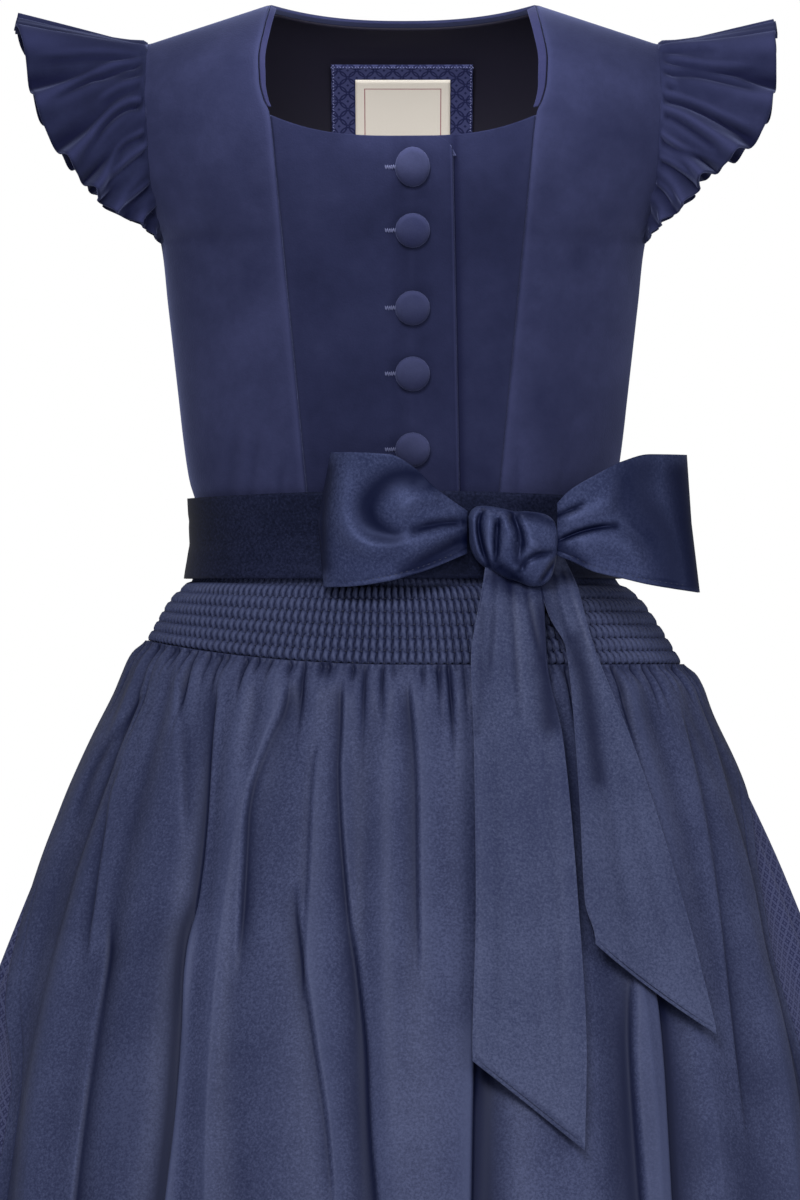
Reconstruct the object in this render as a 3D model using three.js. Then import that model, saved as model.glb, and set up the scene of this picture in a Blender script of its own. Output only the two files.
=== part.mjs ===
// A girl's dirndl: a velvet bodice with five covered buttons and ruffled cap sleeves, a gathered
// jacquard skirt, and a satin apron with a smocked top and a sash tied in a bow.
// The cloth stands in the hollow form it has when worn, with no wearer in it.
// Millimetres and degrees, +Z up. The front faces -Y, and +X is the wearer's left.
// The origin is midway between the shoulders, at the height where the straps meet the neck.
import * as THREE from "three";

// Driving dimensions
const FRONT = -1;
const BACK = 1;
const RIGHT = -1;
const LEFT = 1;
const SEAM_GAP = 0.3;
const THICKNESS = { velvet: 2, ruffle: 1.5, facing: 1, lining: 1, label: 1 };
const SATIN = { apron: 1.5, smocking: 1.2, sash: 1.5, loop: 1.6, tail: 2.2 };
const JACQUARD = 1.8;
// How far the outer face of each part of the apron stands off the skirt where it lies flat.
const OFF_SKIRT = { apron: 2.4, smocking: 1.8 };
const WAIST = -290;
const SKIRT_TOP = -312;
const SKIRT_HEM = -745;
const APRON_HEM = -715;

// The shoulder is a quarter round of this depth and height that drops from the neck to the tip.
const SHOULDER = { neckHalf: 72, tipHalf: 139, drop: 22, height: 100, depth: 85, dropFades: 110 };
const ARMHOLE = { top: -22, bottom: -131, halfDepth: 40 };
const FRONT_NECK = { middle: -73.7, corner: -61.8, half: 73 };
const BACK_NECK = { middle: -8.6, half: 73.5, power: 2.4 };

// The bodice's outer surface: half breadth and half depth at each level.
// Above the armhole's foot the breadth is that of the surface the panels are cut from.
const BODY_SECTIONS = [
  { level: WAIST, breadth: 112, depth: 77 },
  { level: -276, breadth: 113.5, depth: 77.5 },
  { level: -262, breadth: 117.5, depth: 78.5 },
  { level: -240, breadth: 120.8, depth: 80 },
  { level: -217, breadth: 123.4, depth: 81 },
  { level: -165, breadth: 129.3, depth: 83.5 },
  { level: -131, breadth: 133.3, depth: 84.5 },
  { level: -120, breadth: 141, depth: 84.8 },
  { level: -108, breadth: 148.5, depth: 85 },
  { level: -85, breadth: 158, depth: 85 },
  { level: -60, breadth: 164, depth: 85 },
  { level: -30, breadth: 170, depth: 85 },
  { level: 0, breadth: 172, depth: 85 },
];

// Distance from the middle of the front to the princess seam and, above it, to the neck's side edge.
const SEAM_AND_NECK_EDGE = [
  { level: WAIST, across: 51 },
  { level: -209, across: 58.8 },
  { level: -135, across: 66 },
  { level: -93, across: 70 },
  { level: -60, across: 73.5 },
  { level: -53, across: 76.5 },
  { level: -42, across: 79 },
  { level: -28, across: 79.6 },
  { level: -12, across: 76.8 },
  { level: 0, across: 73.5 },
];

// The front closes right over left: the upper layer's edge, its rise and its rounded corner.
const LAP = { underEdge: 7, edgeAtTop: 27.5, edgeAtWaist: 31.5, slantsBelow: -85, corner: 12 };
const LAP_RISE = { height: 2.6, from: -6, to: 6 };
const BUTTON = { radius: 9.5, height: 5.5, across: 5.2, sides: 12 };
const BUTTON_LEVELS = [-91, -125.6, -168, -204, -245.5];
// The covered dome, as parts of the button's radius and height.
const BUTTON_PROFILE = [
  { radius: 0, height: 0 },
  { radius: 0.88, height: 0 },
  { radius: 1, height: 0.28 },
  { radius: 0.9, height: 0.62 },
  { radius: 0.55, height: 0.92 },
  { radius: 0, height: 1 },
];

const FACING = { bottom: -56.5, top: -0.4, width: 4.2, clear: 1.1, inward: 0.9, under: 0.45 };
// The facing narrows into the neck's corner: its width at these parts of its height.
const FACING_TAPER = { none: -0.35, full: 0.25 };
const PATCH = { left: 39, right: -40, top: -29, bottom: -91, clear: 1.9 };
const LABEL = { left: 26.5, right: -26.7, top: -36.7, bottom: -83, clear: 0.8 };

// Ruffled cap sleeves, by the angle round the armhole from the shoulder tip: how long each one is,
// how steeply it falls, how far it leans out to the front or back, and how far its folds swing.
const SLEEVE_SECTIONS = [
  { round: 0, right: 72, left: 65, rightFall: -6.5, leftFall: -6, lean: 0, swing: 3.5 },
  { round: 20, right: 73, left: 64, rightFall: -12, leftFall: -10, lean: 4, swing: 4.5 },
  { round: 30, right: 66, left: 64, rightFall: 2, leftFall: 3, lean: 7, swing: 5.5 },
  { round: 42, right: 64, left: 65, rightFall: 19, leftFall: 18, lean: 10, swing: 7.5 },
  { round: 64, right: 55, left: 52, rightFall: 41, leftFall: 38, lean: 14, swing: 8.5 },
  { round: 84, right: 44, left: 35, rightFall: 48, leftFall: 46, lean: 15, swing: 7.5 },
  { round: 105, right: 31, left: 25, rightFall: 50, leftFall: 50, lean: 14, swing: 5.5 },
  { round: 122, right: 17, left: 15, rightFall: 64, leftFall: 68, lean: 12, swing: 3.5 },
  { round: 142, right: 8, left: 7, rightFall: 73, leftFall: 74, lean: 8, swing: 2 },
  { round: 165, right: 2.5, left: 2.5, rightFall: 80, leftFall: 80, lean: 4, swing: 0.3 },
];
// Where the ruffle's folds crest, round the armhole from under the back to under the front.
const RUFFLE_CRESTS = [
  -165, -146, -126, -108, -90, -70, -52, -33, -14, 6, 27, 42, 64, 84, 105, 122, 142, 165,
];
const RUFFLE = { end: 165, clear: 1, steepness: 0.3, columnsPerFold: 3 };

// The skirt's outer surface. drift is how far its middle hangs towards the wearer's left.
const SKIRT_SECTIONS = [
  { level: SKIRT_HEM, breadth: 288, depth: 228, drift: 4 },
  { level: -600, breadth: 251, depth: 196, drift: 4 },
  { level: -480, breadth: 206, depth: 154, drift: 4 },
  { level: -410, breadth: 173, depth: 126, drift: 3.5 },
  { level: -364, breadth: 148.5, depth: 104, drift: 2.8 },
  { level: -343, breadth: 136.5, depth: 94, drift: 2.2 },
  { level: -329, breadth: 127.5, depth: 87, drift: 1.4 },
  { level: SKIRT_TOP, breadth: 112, depth: 77, drift: 0 },
  { level: WAIST, breadth: 112, depth: 77, drift: 0 },
];
const SKIRT_FOLDS = { count: 12, swing: 11, fullAt: -600, smoothWithin: 60, openBeyond: 80 };

// Smocking: pleats held by seven stitched rows, with the cloth puffed out between the rows.
const SMOCKING = { pleats: 88, top: SKIRT_TOP, firstRow: -320.4, rows: 7, rowPitch: 7.1 };
const PLEAT = { atStitches: 0.8, puffed: 2.3, lying: 0.3 };
const BAND_HALF_ANGLE = 88;
// The band is flatter in front than at its sides; this evens out the pleats along it.
const EVEN_PITCH = 4.9;

// The apron hangs straight from the waist, so its side edges come round to the front as the
// skirt widens. fullness is how far its ridges stand off the skirt.
const APRON_SECTIONS = [
  { level: APRON_HEM, rightEdge: 55, leftEdge: 57, fullness: 13 },
  { level: -660, rightEdge: 56, leftEdge: 58, fullness: 12 },
  { level: -600, rightEdge: 58, leftEdge: 59, fullness: 11 },
  { level: -540, rightEdge: 66, leftEdge: 60, fullness: 9.5 },
  { level: -480, rightEdge: 73.5, leftEdge: 65, fullness: 8 },
  { level: -445, rightEdge: 79, leftEdge: 73, fullness: 6.5 },
  { level: -410, rightEdge: 86, leftEdge: 84, fullness: 5 },
  { level: -385, rightEdge: 88, leftEdge: 88, fullness: 3.5 },
  { level: -364, rightEdge: 88, leftEdge: 88, fullness: 2.2 },
];
// Beside these angles the apron clings to the skirt.
const APRON_SIDES = { from: 62, to: 86, clings: 0.75 };
// The apron's largest troughs: the angle of each at its top, halfway and at the hem.
const APRON_FOLD_LEVELS = { top: -364, half: -465, hem: APRON_HEM };
const APRON_FOLDS = [
  { top: -67, half: -64, hem: -52, depth: 0.9, width: 4 },
  { top: -56, half: -49, hem: -41, depth: 0.55, width: 4.5 },
  { top: -45, half: -33, hem: -27, depth: 0.95, width: 4 },
  { top: -23.5, half: -24, hem: -19, depth: 0.65, width: 3.5 },
  { top: -11, half: -9, hem: -4, depth: 0.75, width: 3 },
  { top: 14, half: 11.5, hem: 7.5, depth: 0.8, width: 3 },
  { top: 31, half: 29, hem: 24, depth: 0.9, width: 3.5 },
  { top: 41, half: 37, hem: 31.5, depth: 0.75, width: 3.5 },
  { top: 55, half: 49, hem: 42, depth: 0.6, width: 4.5 },
  { top: 82, half: 66, hem: 52, depth: 0.9, width: 4 },
];
const GATHERS = { count: 33, swing: 0.8, fade: 30 };

const SASH_SECTIONS = [
  { level: -316, breadth: 120.6, depth: 85.5 },
  { level: -292, breadth: 117.6, depth: 83 },
  { level: -268, breadth: 118.7, depth: 83.8 },
];
const SASH_SIDE_DIP = 4;
const SASH_COLUMNS = 60;

const KNOT = { x: 59.6, y: -89.5, z: -298, halfBreadth: 21, halfDepth: 12.1, halfHeight: 20 };
const KNOT_WRAPS = { ridge: 0.05, count: 7, slant: 0.5, squareness: 1.12 };
// The bow's loops: upper and lower edge at each distance from the middle of the front.
const RIGHT_LOOP = {
  root: 36,
  tip: { bottom: -43, middle: -46, top: -39 },
  edges: [
    { x: -46, top: -247, bottom: -321 },
    { x: -30, top: -247, bottom: -320.5 },
    { x: -8, top: -248, bottom: -317.5 },
    { x: 7, top: -256, bottom: -313.5 },
    { x: 17, top: -266, bottom: -310 },
    { x: 36, top: -280, bottom: -302 },
  ],
};
const LEFT_LOOP = {
  root: 83.5,
  tip: { bottom: 162, middle: 157.5, top: 155 },
  edges: [
    { x: 83.5, top: -276, bottom: -303 },
    { x: 91, top: -268, bottom: -306 },
    { x: 105, top: -259.5, bottom: -312.5 },
    { x: 120, top: -252, bottom: -316 },
    { x: 135, top: -248, bottom: -319.5 },
    { x: 164, top: -248.5, bottom: -324 },
  ],
};
const LOOP = { frontBulge: 11, backBulge: 3, rootAngle: 14, offSash: 9, leftSweep: 0.33 };
const LOOP_CREASES = { depth: 4.8, count: 3 };

// The bow's tails: the side edges, from the knot down, and how low each side of the slanted end is.
const RIGHT_TAIL = {
  slantFrom: -575,
  slantTo: -624,
  edges: [
    { level: -624, right: 37.5, left: 99 },
    { level: -575, right: 37.5, left: 100 },
    { level: -492, right: 39.5, left: 95.5 },
    { level: -404, right: 38.5, left: 87.5 },
    { level: -362, right: 37, left: 79 },
    { level: -321.5, right: 43, left: 76.5 },
  ],
};
const LEFT_TAIL = {
  slantFrom: -512,
  slantTo: -562,
  edges: [
    { level: -562, right: 105, left: 171 },
    { level: -512, right: 104.5, left: 158.5 },
    { level: -492, right: 99, left: 153 },
    { level: -443, right: 96.5, left: 138.5 },
    { level: -404, right: 94, left: 125 },
    { level: -354, right: 88.5, left: 105 },
    { level: -321.5, right: 77.5, left: 95 },
  ],
};
const TAIL = { offRidges: 5.25, topLift: 9, liftFades: 35, hollow: 1.5 };

// Materials
const cloth = (color, roughness) => new THREE.MeshStandardMaterial({ color, roughness, metalness: 0 });
const VELVET = cloth(0x2b2f50, 0.95);
const LINING = cloth(0x13111b, 0.8);
const PATCH_CLOTH = cloth(0x2f3049, 0.8);
const LABEL_CLOTH = cloth(0xc8beb4, 0.9);
const SKIRT_CLOTH = cloth(0x3e405a, 0.7);
const APRON_CLOTH = cloth(0x3d435d, 0.5);
const BOW_CLOTH = cloth(0x363c55, 0.45);

// Small mathematics
const radians = THREE.MathUtils.degToRad;
const degrees = THREE.MathUtils.radToDeg;
const mix = THREE.MathUtils.lerp;
const clamp = THREE.MathUtils.clamp;
const smooth = (value, from, to) => THREE.MathUtils.smoothstep(value, from, to);
const bell = (distance, width) => Math.exp(-((distance / width) ** 2));

// Numbers from first to last in equal steps.
function spread(first, last, steps) {
  return Array.from({ length: steps + 1 }, (_, i) => mix(first, last, i / steps));
}

// The value of one column of a table at a place between two of its rows.
function between(rows, column, at, by = "level") {
  const ordered = [...rows].sort((a, b) => a[by] - b[by]);
  const next = ordered.findIndex((row) => row[by] >= at);
  if (next === -1) return ordered[ordered.length - 1][column];
  if (next === 0) return ordered[0][column];
  const [low, high] = [ordered[next - 1], ordered[next]];
  return mix(low[column], high[column], (at - low[by]) / (high[by] - low[by]));
}

// Cloth walls
// A surface is a function of two coordinates. Its outside is where u across v points.
function normalOf(surface, u, v, us, vs, ring) {
  const range = (values) => [Math.min(values[0], values.at(-1)), Math.max(values[0], values.at(-1))];
  const stepU = (us.at(-1) - us[0]) / 1000;
  const stepV = (vs.at(-1) - vs[0]) / 1000;
  const limitU = ring ? [-Infinity, Infinity] : range(us);
  const limitV = range(vs);
  const along = surface(clamp(u + stepU, ...limitU), v).sub(surface(clamp(u - stepU, ...limitU), v));
  const up = surface(u, clamp(v + stepV, ...limitV)).sub(surface(u, clamp(v - stepV, ...limitV)));
  return along.cross(up).normalize();
}

// Triangles between two chains of vertices that run the same way, however many each has.
function bridge(index, first, second) {
  let i = 0;
  let j = 0;
  while (i < first.length - 1 || j < second.length - 1) {
    const nextFirst = (i + 1) / (first.length - 1);
    const nextSecond = (j + 1) / (second.length - 1);
    if (nextFirst <= nextSecond && i < first.length - 1) {
      index.push(first[i], second[j], first[i + 1]);
      i += 1;
    } else {
      index.push(second[j], second[j + 1], first[i]);
      j += 1;
    }
  }
}

// Triangles over a grid of vertices, facing outside, or inside when turned.
function skin(index, grid, turned) {
  for (let row = 0; row < grid.length - 1; row += 1) {
    for (let column = 0; column < grid[row].length - 1; column += 1) {
      const [a, b] = [grid[row][column], grid[row][column + 1]];
      const [d, c] = [grid[row + 1][column], grid[row + 1][column + 1]];
      if (turned) index.push(a, c, b, a, d, c);
      else index.push(a, b, c, a, c, d);
    }
  }
}

// A closed wall of cloth. Its outer points are the surface's, raised by the relief, and its inner
// points lie behind the surface by the thickness, on a grid that may be coarser.
function clothWall(settings) {
  const { surface, us, vs, thickness, relief = () => 0, ring = false } = settings;
  const { insideUs = us, insideVs = vs } = settings;
  const positions = [];
  const index = [];
  const grid = (columns, rows, away) =>
    rows.map((v, row) => {
      const ids = columns.map((u, column) => {
        const outward = normalOf(surface, u, v, us, vs, ring);
        const place = surface(u, v).addScaledVector(outward, away(column, row));
        positions.push(place.x, place.y, place.z);
        return positions.length / 3 - 1;
      });
      return ring ? [...ids, ids[0]] : ids;
    });
  const outside = grid(us, vs, relief);
  const inside = grid(insideUs, insideVs, () => -thickness);
  skin(index, outside, false);
  skin(index, inside, true);
  bridge(index, outside[0], inside[0]);
  bridge(index, [...outside.at(-1)].reverse(), [...inside.at(-1)].reverse());
  if (!ring) {
    const side = (rows, column) => rows.map((row) => row.at(column));
    bridge(index, side(outside, 0).reverse(), side(inside, 0).reverse());
    bridge(index, side(outside, -1), side(inside, -1));
  }
  const geometry = new THREE.BufferGeometry();
  geometry.setAttribute("position", new THREE.Float32BufferAttribute(positions, 3));
  geometry.setIndex(index);
  geometry.computeVertexNormals();
  return geometry;
}

// The same wall with half of its thickness on each side of the surface.
function middleWall(settings) {
  const half = settings.thickness / 2;
  return clothWall({ ...settings, thickness: half, relief: () => half });
}

const dirndl = new THREE.Group();
function add(name, geometry, material) {
  const mesh = new THREE.Mesh(geometry, material);
  mesh.name = name;
  dirndl.add(mesh);
  return mesh;
}

// Body
function bodyDepth(level) {
  if (level < -SHOULDER.height) return between(BODY_SECTIONS, "depth", level);
  const up = 1 + level / SHOULDER.height;
  return SHOULDER.depth * Math.sqrt(1 - up * up);
}

const shoulderDrop = (level) => SHOULDER.drop * Math.max(0, 1 + level / SHOULDER.dropFades);

function bodyPoint(facing, angle, level, rise = 0) {
  const x = between(BODY_SECTIONS, "breadth", level) * Math.sin(radians(angle));
  const y = facing * (bodyDepth(level) * Math.cos(radians(angle)) + rise + SEAM_GAP / 2);
  const alongShoulder = (Math.abs(x) - SHOULDER.neckHalf) / (SHOULDER.tipHalf - SHOULDER.neckHalf);
  const towardsTip = clamp(alongShoulder, 0, 1);
  return new THREE.Vector3(x, y, level - shoulderDrop(level) * towardsTip);
}

const angleAcross = (x, level) => degrees(Math.asin(x / between(BODY_SECTIONS, "breadth", level)));

// The armhole is an ellipse seen from the side; below it the panels reach the side seam.
function armholeAngle(level) {
  const height = level - shoulderDrop(level);
  if (height <= ARMHOLE.bottom) return 90;
  const middle = (ARMHOLE.top + ARMHOLE.bottom) / 2;
  const up = (height - middle) / (ARMHOLE.top - middle);
  return degrees(Math.acos((ARMHOLE.halfDepth * Math.sqrt(1 - up * up)) / bodyDepth(level)));
}

// Levels from the waist to a top, closer together where the shoulder rounds over.
const SHOULDER_LINE = -0.0001;
const bodiceLevel = (top, up) => mix(top, WAIST + SEAM_GAP / 2, (1 - up) ** 2);
const SIDE_ROWS = spread(0, 1, 13);
// The centre panels share the side panels' rows up to the one below the neck, which follows it.
const CENTRE_ROWS = SIDE_ROWS.filter((up) => up < 0.58);
function centreLevel(neck, up) {
  const [last, top] = CENTRE_ROWS.slice(-2);
  if (up <= last) return bodiceLevel(SHOULDER_LINE, up);
  return mix(bodiceLevel(SHOULDER_LINE, last), neck, (up - last) / (top - last));
}

function frontSide(side) {
  const surface = (across, up) => {
    const level = bodiceLevel(SHOULDER_LINE, up);
    const inner = angleAcross(between(SEAM_AND_NECK_EDGE, "across", level) + SEAM_GAP / 2, level);
    return bodyPoint(FRONT, side * mix(inner, armholeAngle(level), Math.abs(across)), level);
  };
  const us = side === LEFT ? spread(0, 1, 5) : spread(-1, 0, 5);
  return clothWall({ surface, us, vs: SIDE_ROWS, thickness: THICKNESS.velvet });
}

const neckLevel = (x) =>
  FRONT_NECK.middle + (FRONT_NECK.corner - FRONT_NECK.middle) * (Math.abs(x) / FRONT_NECK.half) ** 3;

// The front's upper layer, from the right princess seam over the middle to its free edge.
function frontCentreRight() {
  const seam = (level) => -(between(SEAM_AND_NECK_EDGE, "across", level) - SEAM_GAP / 2);
  const slant = (level) => clamp((level - LAP.slantsBelow) / (WAIST - LAP.slantsBelow), 0, 1);
  const edge = (level) => mix(LAP.edgeAtTop, LAP.edgeAtWaist, slant(level));
  const surface = (across, up) => {
    const topX = mix(seam(FRONT_NECK.corner), LAP.edgeAtTop, across);
    const intoCorner = Math.max(0, topX - (LAP.edgeAtTop - LAP.corner));
    const corner = LAP.corner - Math.sqrt(LAP.corner ** 2 - intoCorner ** 2);
    const level = centreLevel(neckLevel(topX) - corner, up);
    const x = mix(seam(level), edge(level), across);
    const rise = LAP_RISE.height * smooth(x, LAP_RISE.from, LAP_RISE.to);
    return bodyPoint(FRONT, angleAcross(x, level), level, rise);
  };
  return clothWall({ surface, us: spread(0, 1, 9), vs: CENTRE_ROWS, thickness: THICKNESS.velvet });
}

// The under layer, from beneath the lap to the left princess seam.
function frontCentreLeft() {
  const seam = (level) => between(SEAM_AND_NECK_EDGE, "across", level) - SEAM_GAP / 2;
  const surface = (across, up) => {
    const level = centreLevel(neckLevel(mix(LAP.underEdge, seam(FRONT_NECK.corner), across)), up);
    return bodyPoint(FRONT, angleAcross(mix(LAP.underEdge, seam(level), across), level), level);
  };
  return clothWall({ surface, us: spread(0, 1, 6), vs: CENTRE_ROWS, thickness: THICKNESS.velvet });
}

// The back in one piece: shoulder seams and the shallow neck form its top edge.
function backSurface(across, up) {
  const shoulderX = bodyPoint(BACK, Math.abs(across) * armholeAngle(SHOULDER_LINE), SHOULDER_LINE).x;
  const fromMiddle = Math.min(1, shoulderX / BACK_NECK.half);
  const top = Math.min(SHOULDER_LINE, BACK_NECK.middle * (1 - fromMiddle ** BACK_NECK.power));
  const level = bodiceLevel(top, up);
  return bodyPoint(BACK, across * armholeAngle(level), level);
}

// A surface moved along its own normals: outwards, or inwards when the distance is negative.
function moved(surface, distance, us, vs) {
  return (u, v) => surface(u, v).addScaledVector(normalOf(surface, u, v, us, vs, false), distance);
}

const BACK_COLUMNS = spread(1, -1, 16);
const BACK_ROWS = spread(0, 1, 12);
function back() {
  return clothWall({ surface: backSurface, us: BACK_COLUMNS, vs: BACK_ROWS, thickness: THICKNESS.velvet });
}

function backLining() {
  const us = BACK_COLUMNS.slice(1, -1);
  const vs = BACK_ROWS.slice(1, -1);
  const surface = moved(backSurface, -(THICKNESS.velvet + SEAM_GAP), us, vs);
  return clothWall({ surface, us, vs, thickness: THICKNESS.lining });
}

// A flat piece of cloth sewn to the inside of the back, depth being how far in it lies.
const PATCH_DEPTH = THICKNESS.velvet + THICKNESS.lining + SEAM_GAP + PATCH.clear;
function insideBack(piece, depth, columns, rows) {
  const onBack = (x, level) => bodyPoint(BACK, angleAcross(x, level), level);
  const us = spread(piece.left, piece.right, columns);
  const vs = spread(piece.bottom, piece.top, rows);
  return clothWall({ surface: moved(onBack, -depth, us, vs), us, vs, thickness: THICKNESS.label });
}

// The strap's neck edge turned under: a narrow strip that leans in from the panel's edge.
function neckFacing(side) {
  const surface = (across, up) => {
    const level = mix(FACING.bottom, FACING.top, 1 - (1 - up) ** 2);
    const angle = angleAcross(between(SEAM_AND_NECK_EDGE, "across", level) - SEAM_GAP / 2, level);
    const edge = bodyPoint(FRONT, side * angle, level);
    const outward = new THREE.Vector3(0, -bodyDepth(level), level + SHOULDER.height).normalize();
    const width = FACING.width * smooth(up, FACING_TAPER.none, FACING_TAPER.full) * Math.abs(across);
    edge.x -= side * (FACING.clear + FACING.inward * width);
    return edge.addScaledVector(outward, -FACING.under * width - SEAM_GAP);
  };
  const us = side === LEFT ? spread(-1, 0, 1) : spread(0, 1, 1);
  return clothWall({ surface, us, vs: spread(0, 1, 10), thickness: THICKNESS.facing });
}

// A covered button: a low dome on a flat back, turned to stand on the placket.
function button(level) {
  const { radius, height, across, sides } = BUTTON;
  const profile = BUTTON_PROFILE.map((row) => new THREE.Vector2(row.radius * radius, row.height * height));
  const geometry = new THREE.LatheGeometry(profile, sides);
  const at = (dx, dl) =>
    bodyPoint(FRONT, angleAcross(across + dx, level + dl), level + dl, LAP_RISE.height);
  const outward = at(1, 0).sub(at(-1, 0)).cross(at(0, 1).sub(at(0, -1))).normalize();
  geometry.applyQuaternion(new THREE.Quaternion().setFromUnitVectors(new THREE.Vector3(0, 1, 0), outward));
  const place = at(0, 0).addScaledVector(outward, SEAM_GAP);
  geometry.translate(place.x, place.y, place.z);
  return geometry;
}

// Sleeves
// A point of the armhole, by the angle round it from the shoulder tip, positive to the front.
function armholePoint(side, round) {
  const middle = (ARMHOLE.top + ARMHOLE.bottom) / 2;
  const height = middle + (ARMHOLE.top - middle) * Math.cos(radians(round));
  const slope = 1 - SHOULDER.drop / SHOULDER.dropFades;
  const level = height < -SHOULDER.dropFades ? height : (height + SHOULDER.drop) / slope;
  const onPanel = Math.min(level, SHOULDER_LINE);
  return bodyPoint(round < 0 ? BACK : FRONT, side * armholeAngle(onPanel), onPanel);
}

// The sleeve without its folds, by the angle round the armhole and how far out it is.
function sleeveBase(side, round, out) {
  const name = side === RIGHT ? "right" : "left";
  const turn = Math.abs(round);
  const length = between(SLEEVE_SECTIONS, name, turn, "round");
  const fall = radians(between(SLEEVE_SECTIONS, name + "Fall", turn, "round"));
  const lean = radians(between(SLEEVE_SECTIONS, "lean", turn, "round"));
  const place = armholePoint(side, round);
  place.x += side * (RUFFLE.clear + length * out * Math.cos(fall) * Math.cos(lean));
  place.y += (round < 0 ? BACK : FRONT) * length * out * Math.sin(lean);
  place.z -= length * out * Math.sin(fall);
  return place;
}

// How many folds lie between the ruffle's end and a place round the armhole.
function foldsBefore(round) {
  const next = clamp(RUFFLE_CRESTS.findIndex((crest) => crest >= round), 1, RUFFLE_CRESTS.length - 1);
  const [low, high] = [RUFFLE_CRESTS[next - 1], RUFFLE_CRESTS[next]];
  return next - 1 + (round - low) / (high - low);
}

// Each fold rises slowly to its crest and drops steeply behind it.
function sleeve(side) {
  const steps = spread(0, 1, RUFFLE.columnsPerFold).slice(0, -1);
  const withinFold = (crest, i) => steps.map((t) => mix(RUFFLE_CRESTS[i], crest, t));
  const folds = RUFFLE_CRESTS.slice(1).flatMap(withinFold);
  const us = [...folds, RUFFLE.end];
  const vs = spread(0, 1, 3);
  const base = (round, out) => sleeveBase(side, round, out);
  const surface = (round, out) => {
    const phase = radians(360 * foldsBefore(round));
    const wave = Math.cos(phase) - RUFFLE.steepness * Math.sin(2 * phase) * Math.sign(round);
    const swing = between(SLEEVE_SECTIONS, "swing", Math.abs(round), "round") * out;
    return base(round, out).addScaledVector(normalOf(base, round, out, us, vs, false), side * swing * wave);
  };
  return middleWall({ surface, us, vs, thickness: THICKNESS.ruffle });
}

// Skirt
function skirtPoint(facing, angle, level, out = 0) {
  const breadth = between(SKIRT_SECTIONS, "breadth", level) + out;
  const depth = between(SKIRT_SECTIONS, "depth", level) + out;
  const x = between(SKIRT_SECTIONS, "drift", level) + breadth * Math.sin(radians(angle));
  return new THREE.Vector3(x, facing * (depth * Math.cos(radians(angle)) + SEAM_GAP / 2), level);
}

// Soft folds that open towards the hem; under the apron the front lies smooth.
function skirtFold(facing, angle, level) {
  const { count, swing, fullAt, smoothWithin, openBeyond } = SKIRT_FOLDS;
  const open = swing * smooth(-level, -SKIRT_TOP, -fullAt);
  const free = facing === BACK ? 1 : smooth(Math.abs(angle), smoothWithin, openBeyond);
  return -open * free * (0.5 - 0.5 * Math.cos(radians(2 * count * (angle + 90))));
}

function skirtHalf(facing, columns) {
  const surface = (angle, level) => skirtPoint(facing, angle, level, skirtFold(facing, angle, level));
  return clothWall({
    surface,
    us: facing === FRONT ? spread(-90, 90, columns) : spread(90, -90, columns),
    vs: SKIRT_SECTIONS.map((row) => (row.level === WAIST ? WAIST - SEAM_GAP / 2 : row.level)),
    thickness: JACQUARD,
  });
}

// Apron
function foldAngle(fold, level) {
  const { top, half, hem } = APRON_FOLD_LEVELS;
  if (level > half) return mix(fold.half, fold.top, (level - half) / (top - half));
  return mix(fold.hem, fold.half, (level - hem) / (half - hem));
}

// How far the apron's outer face stands off the skirt: ridges with troughs let into them.
function apronStandOff(angle, level) {
  const clinging = APRON_SIDES.clings * smooth(Math.abs(angle), APRON_SIDES.from, APRON_SIDES.to);
  const fullness = between(APRON_SECTIONS, "fullness", level) * (1 - clinging);
  const troughs = APRON_FOLDS.map((fold) => fold.depth * bell(angle - foldAngle(fold, level), fold.width));
  const gathered = Math.exp((level - APRON_FOLD_LEVELS.top) / GATHERS.fade);
  const inGather = (angle * 180 * GATHERS.count) / BAND_HALF_ANGLE;
  const gathers = GATHERS.swing * gathered * Math.cos(radians(inGather));
  return OFF_SKIRT.apron + fullness * (1 - Math.max(...troughs)) + gathers;
}

function apronSkirt() {
  const surface = (across, level) => {
    const angle = across * between(APRON_SECTIONS, across < 0 ? "rightEdge" : "leftEdge", level);
    return skirtPoint(FRONT, angle, level, apronStandOff(angle, level));
  };
  const top = SMOCKING.firstRow - (SMOCKING.rows - 1) * SMOCKING.rowPitch - SEAM_GAP;
  return clothWall({
    surface,
    us: spread(-1, 1, 60),
    vs: APRON_SECTIONS.map((row) => (row.level === APRON_FOLD_LEVELS.top ? top : row.level)),
    thickness: SATIN.apron,
  });
}

const evenly = (angle) => angle - EVEN_PITCH * Math.sin(radians(2 * angle));
function apronSmocking() {
  const { pleats, top, firstRow, rows, rowPitch } = SMOCKING;
  const lastRow = firstRow - (rows - 1) * rowPitch;
  const surface = (angle, level) => skirtPoint(FRONT, angle, level, OFF_SKIRT.smocking);
  const vs = [...spread(lastRow, firstRow, 2 * (rows - 1)), top];
  const relief = (column, row) => {
    if (column % 2 === 0) return 0;
    if (row === vs.length - 1) return PLEAT.lying;
    return row % 2 === 0 ? PLEAT.atStitches : PLEAT.puffed;
  };
  const across = (count) => spread(-BAND_HALF_ANGLE, BAND_HALF_ANGLE, count).map(evenly);
  const inBand = (level) => level > lastRow && level < top;
  const skirtLevels = SKIRT_SECTIONS.map((row) => row.level).filter(inBand);
  return clothWall({
    surface,
    us: across(2 * pleats),
    vs,
    thickness: SATIN.smocking,
    relief,
    insideUs: across(pleats),
    insideVs: [lastRow, ...skirtLevels, top],
  });
}

// Sash and bow
function sashPoint(angle, level, out = 0) {
  const breadth = between(SASH_SECTIONS, "breadth", level) + out;
  const depth = between(SASH_SECTIONS, "depth", level) + out;
  return new THREE.Vector3(breadth * Math.sin(radians(angle)), -depth * Math.cos(radians(angle)), level);
}

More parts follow.
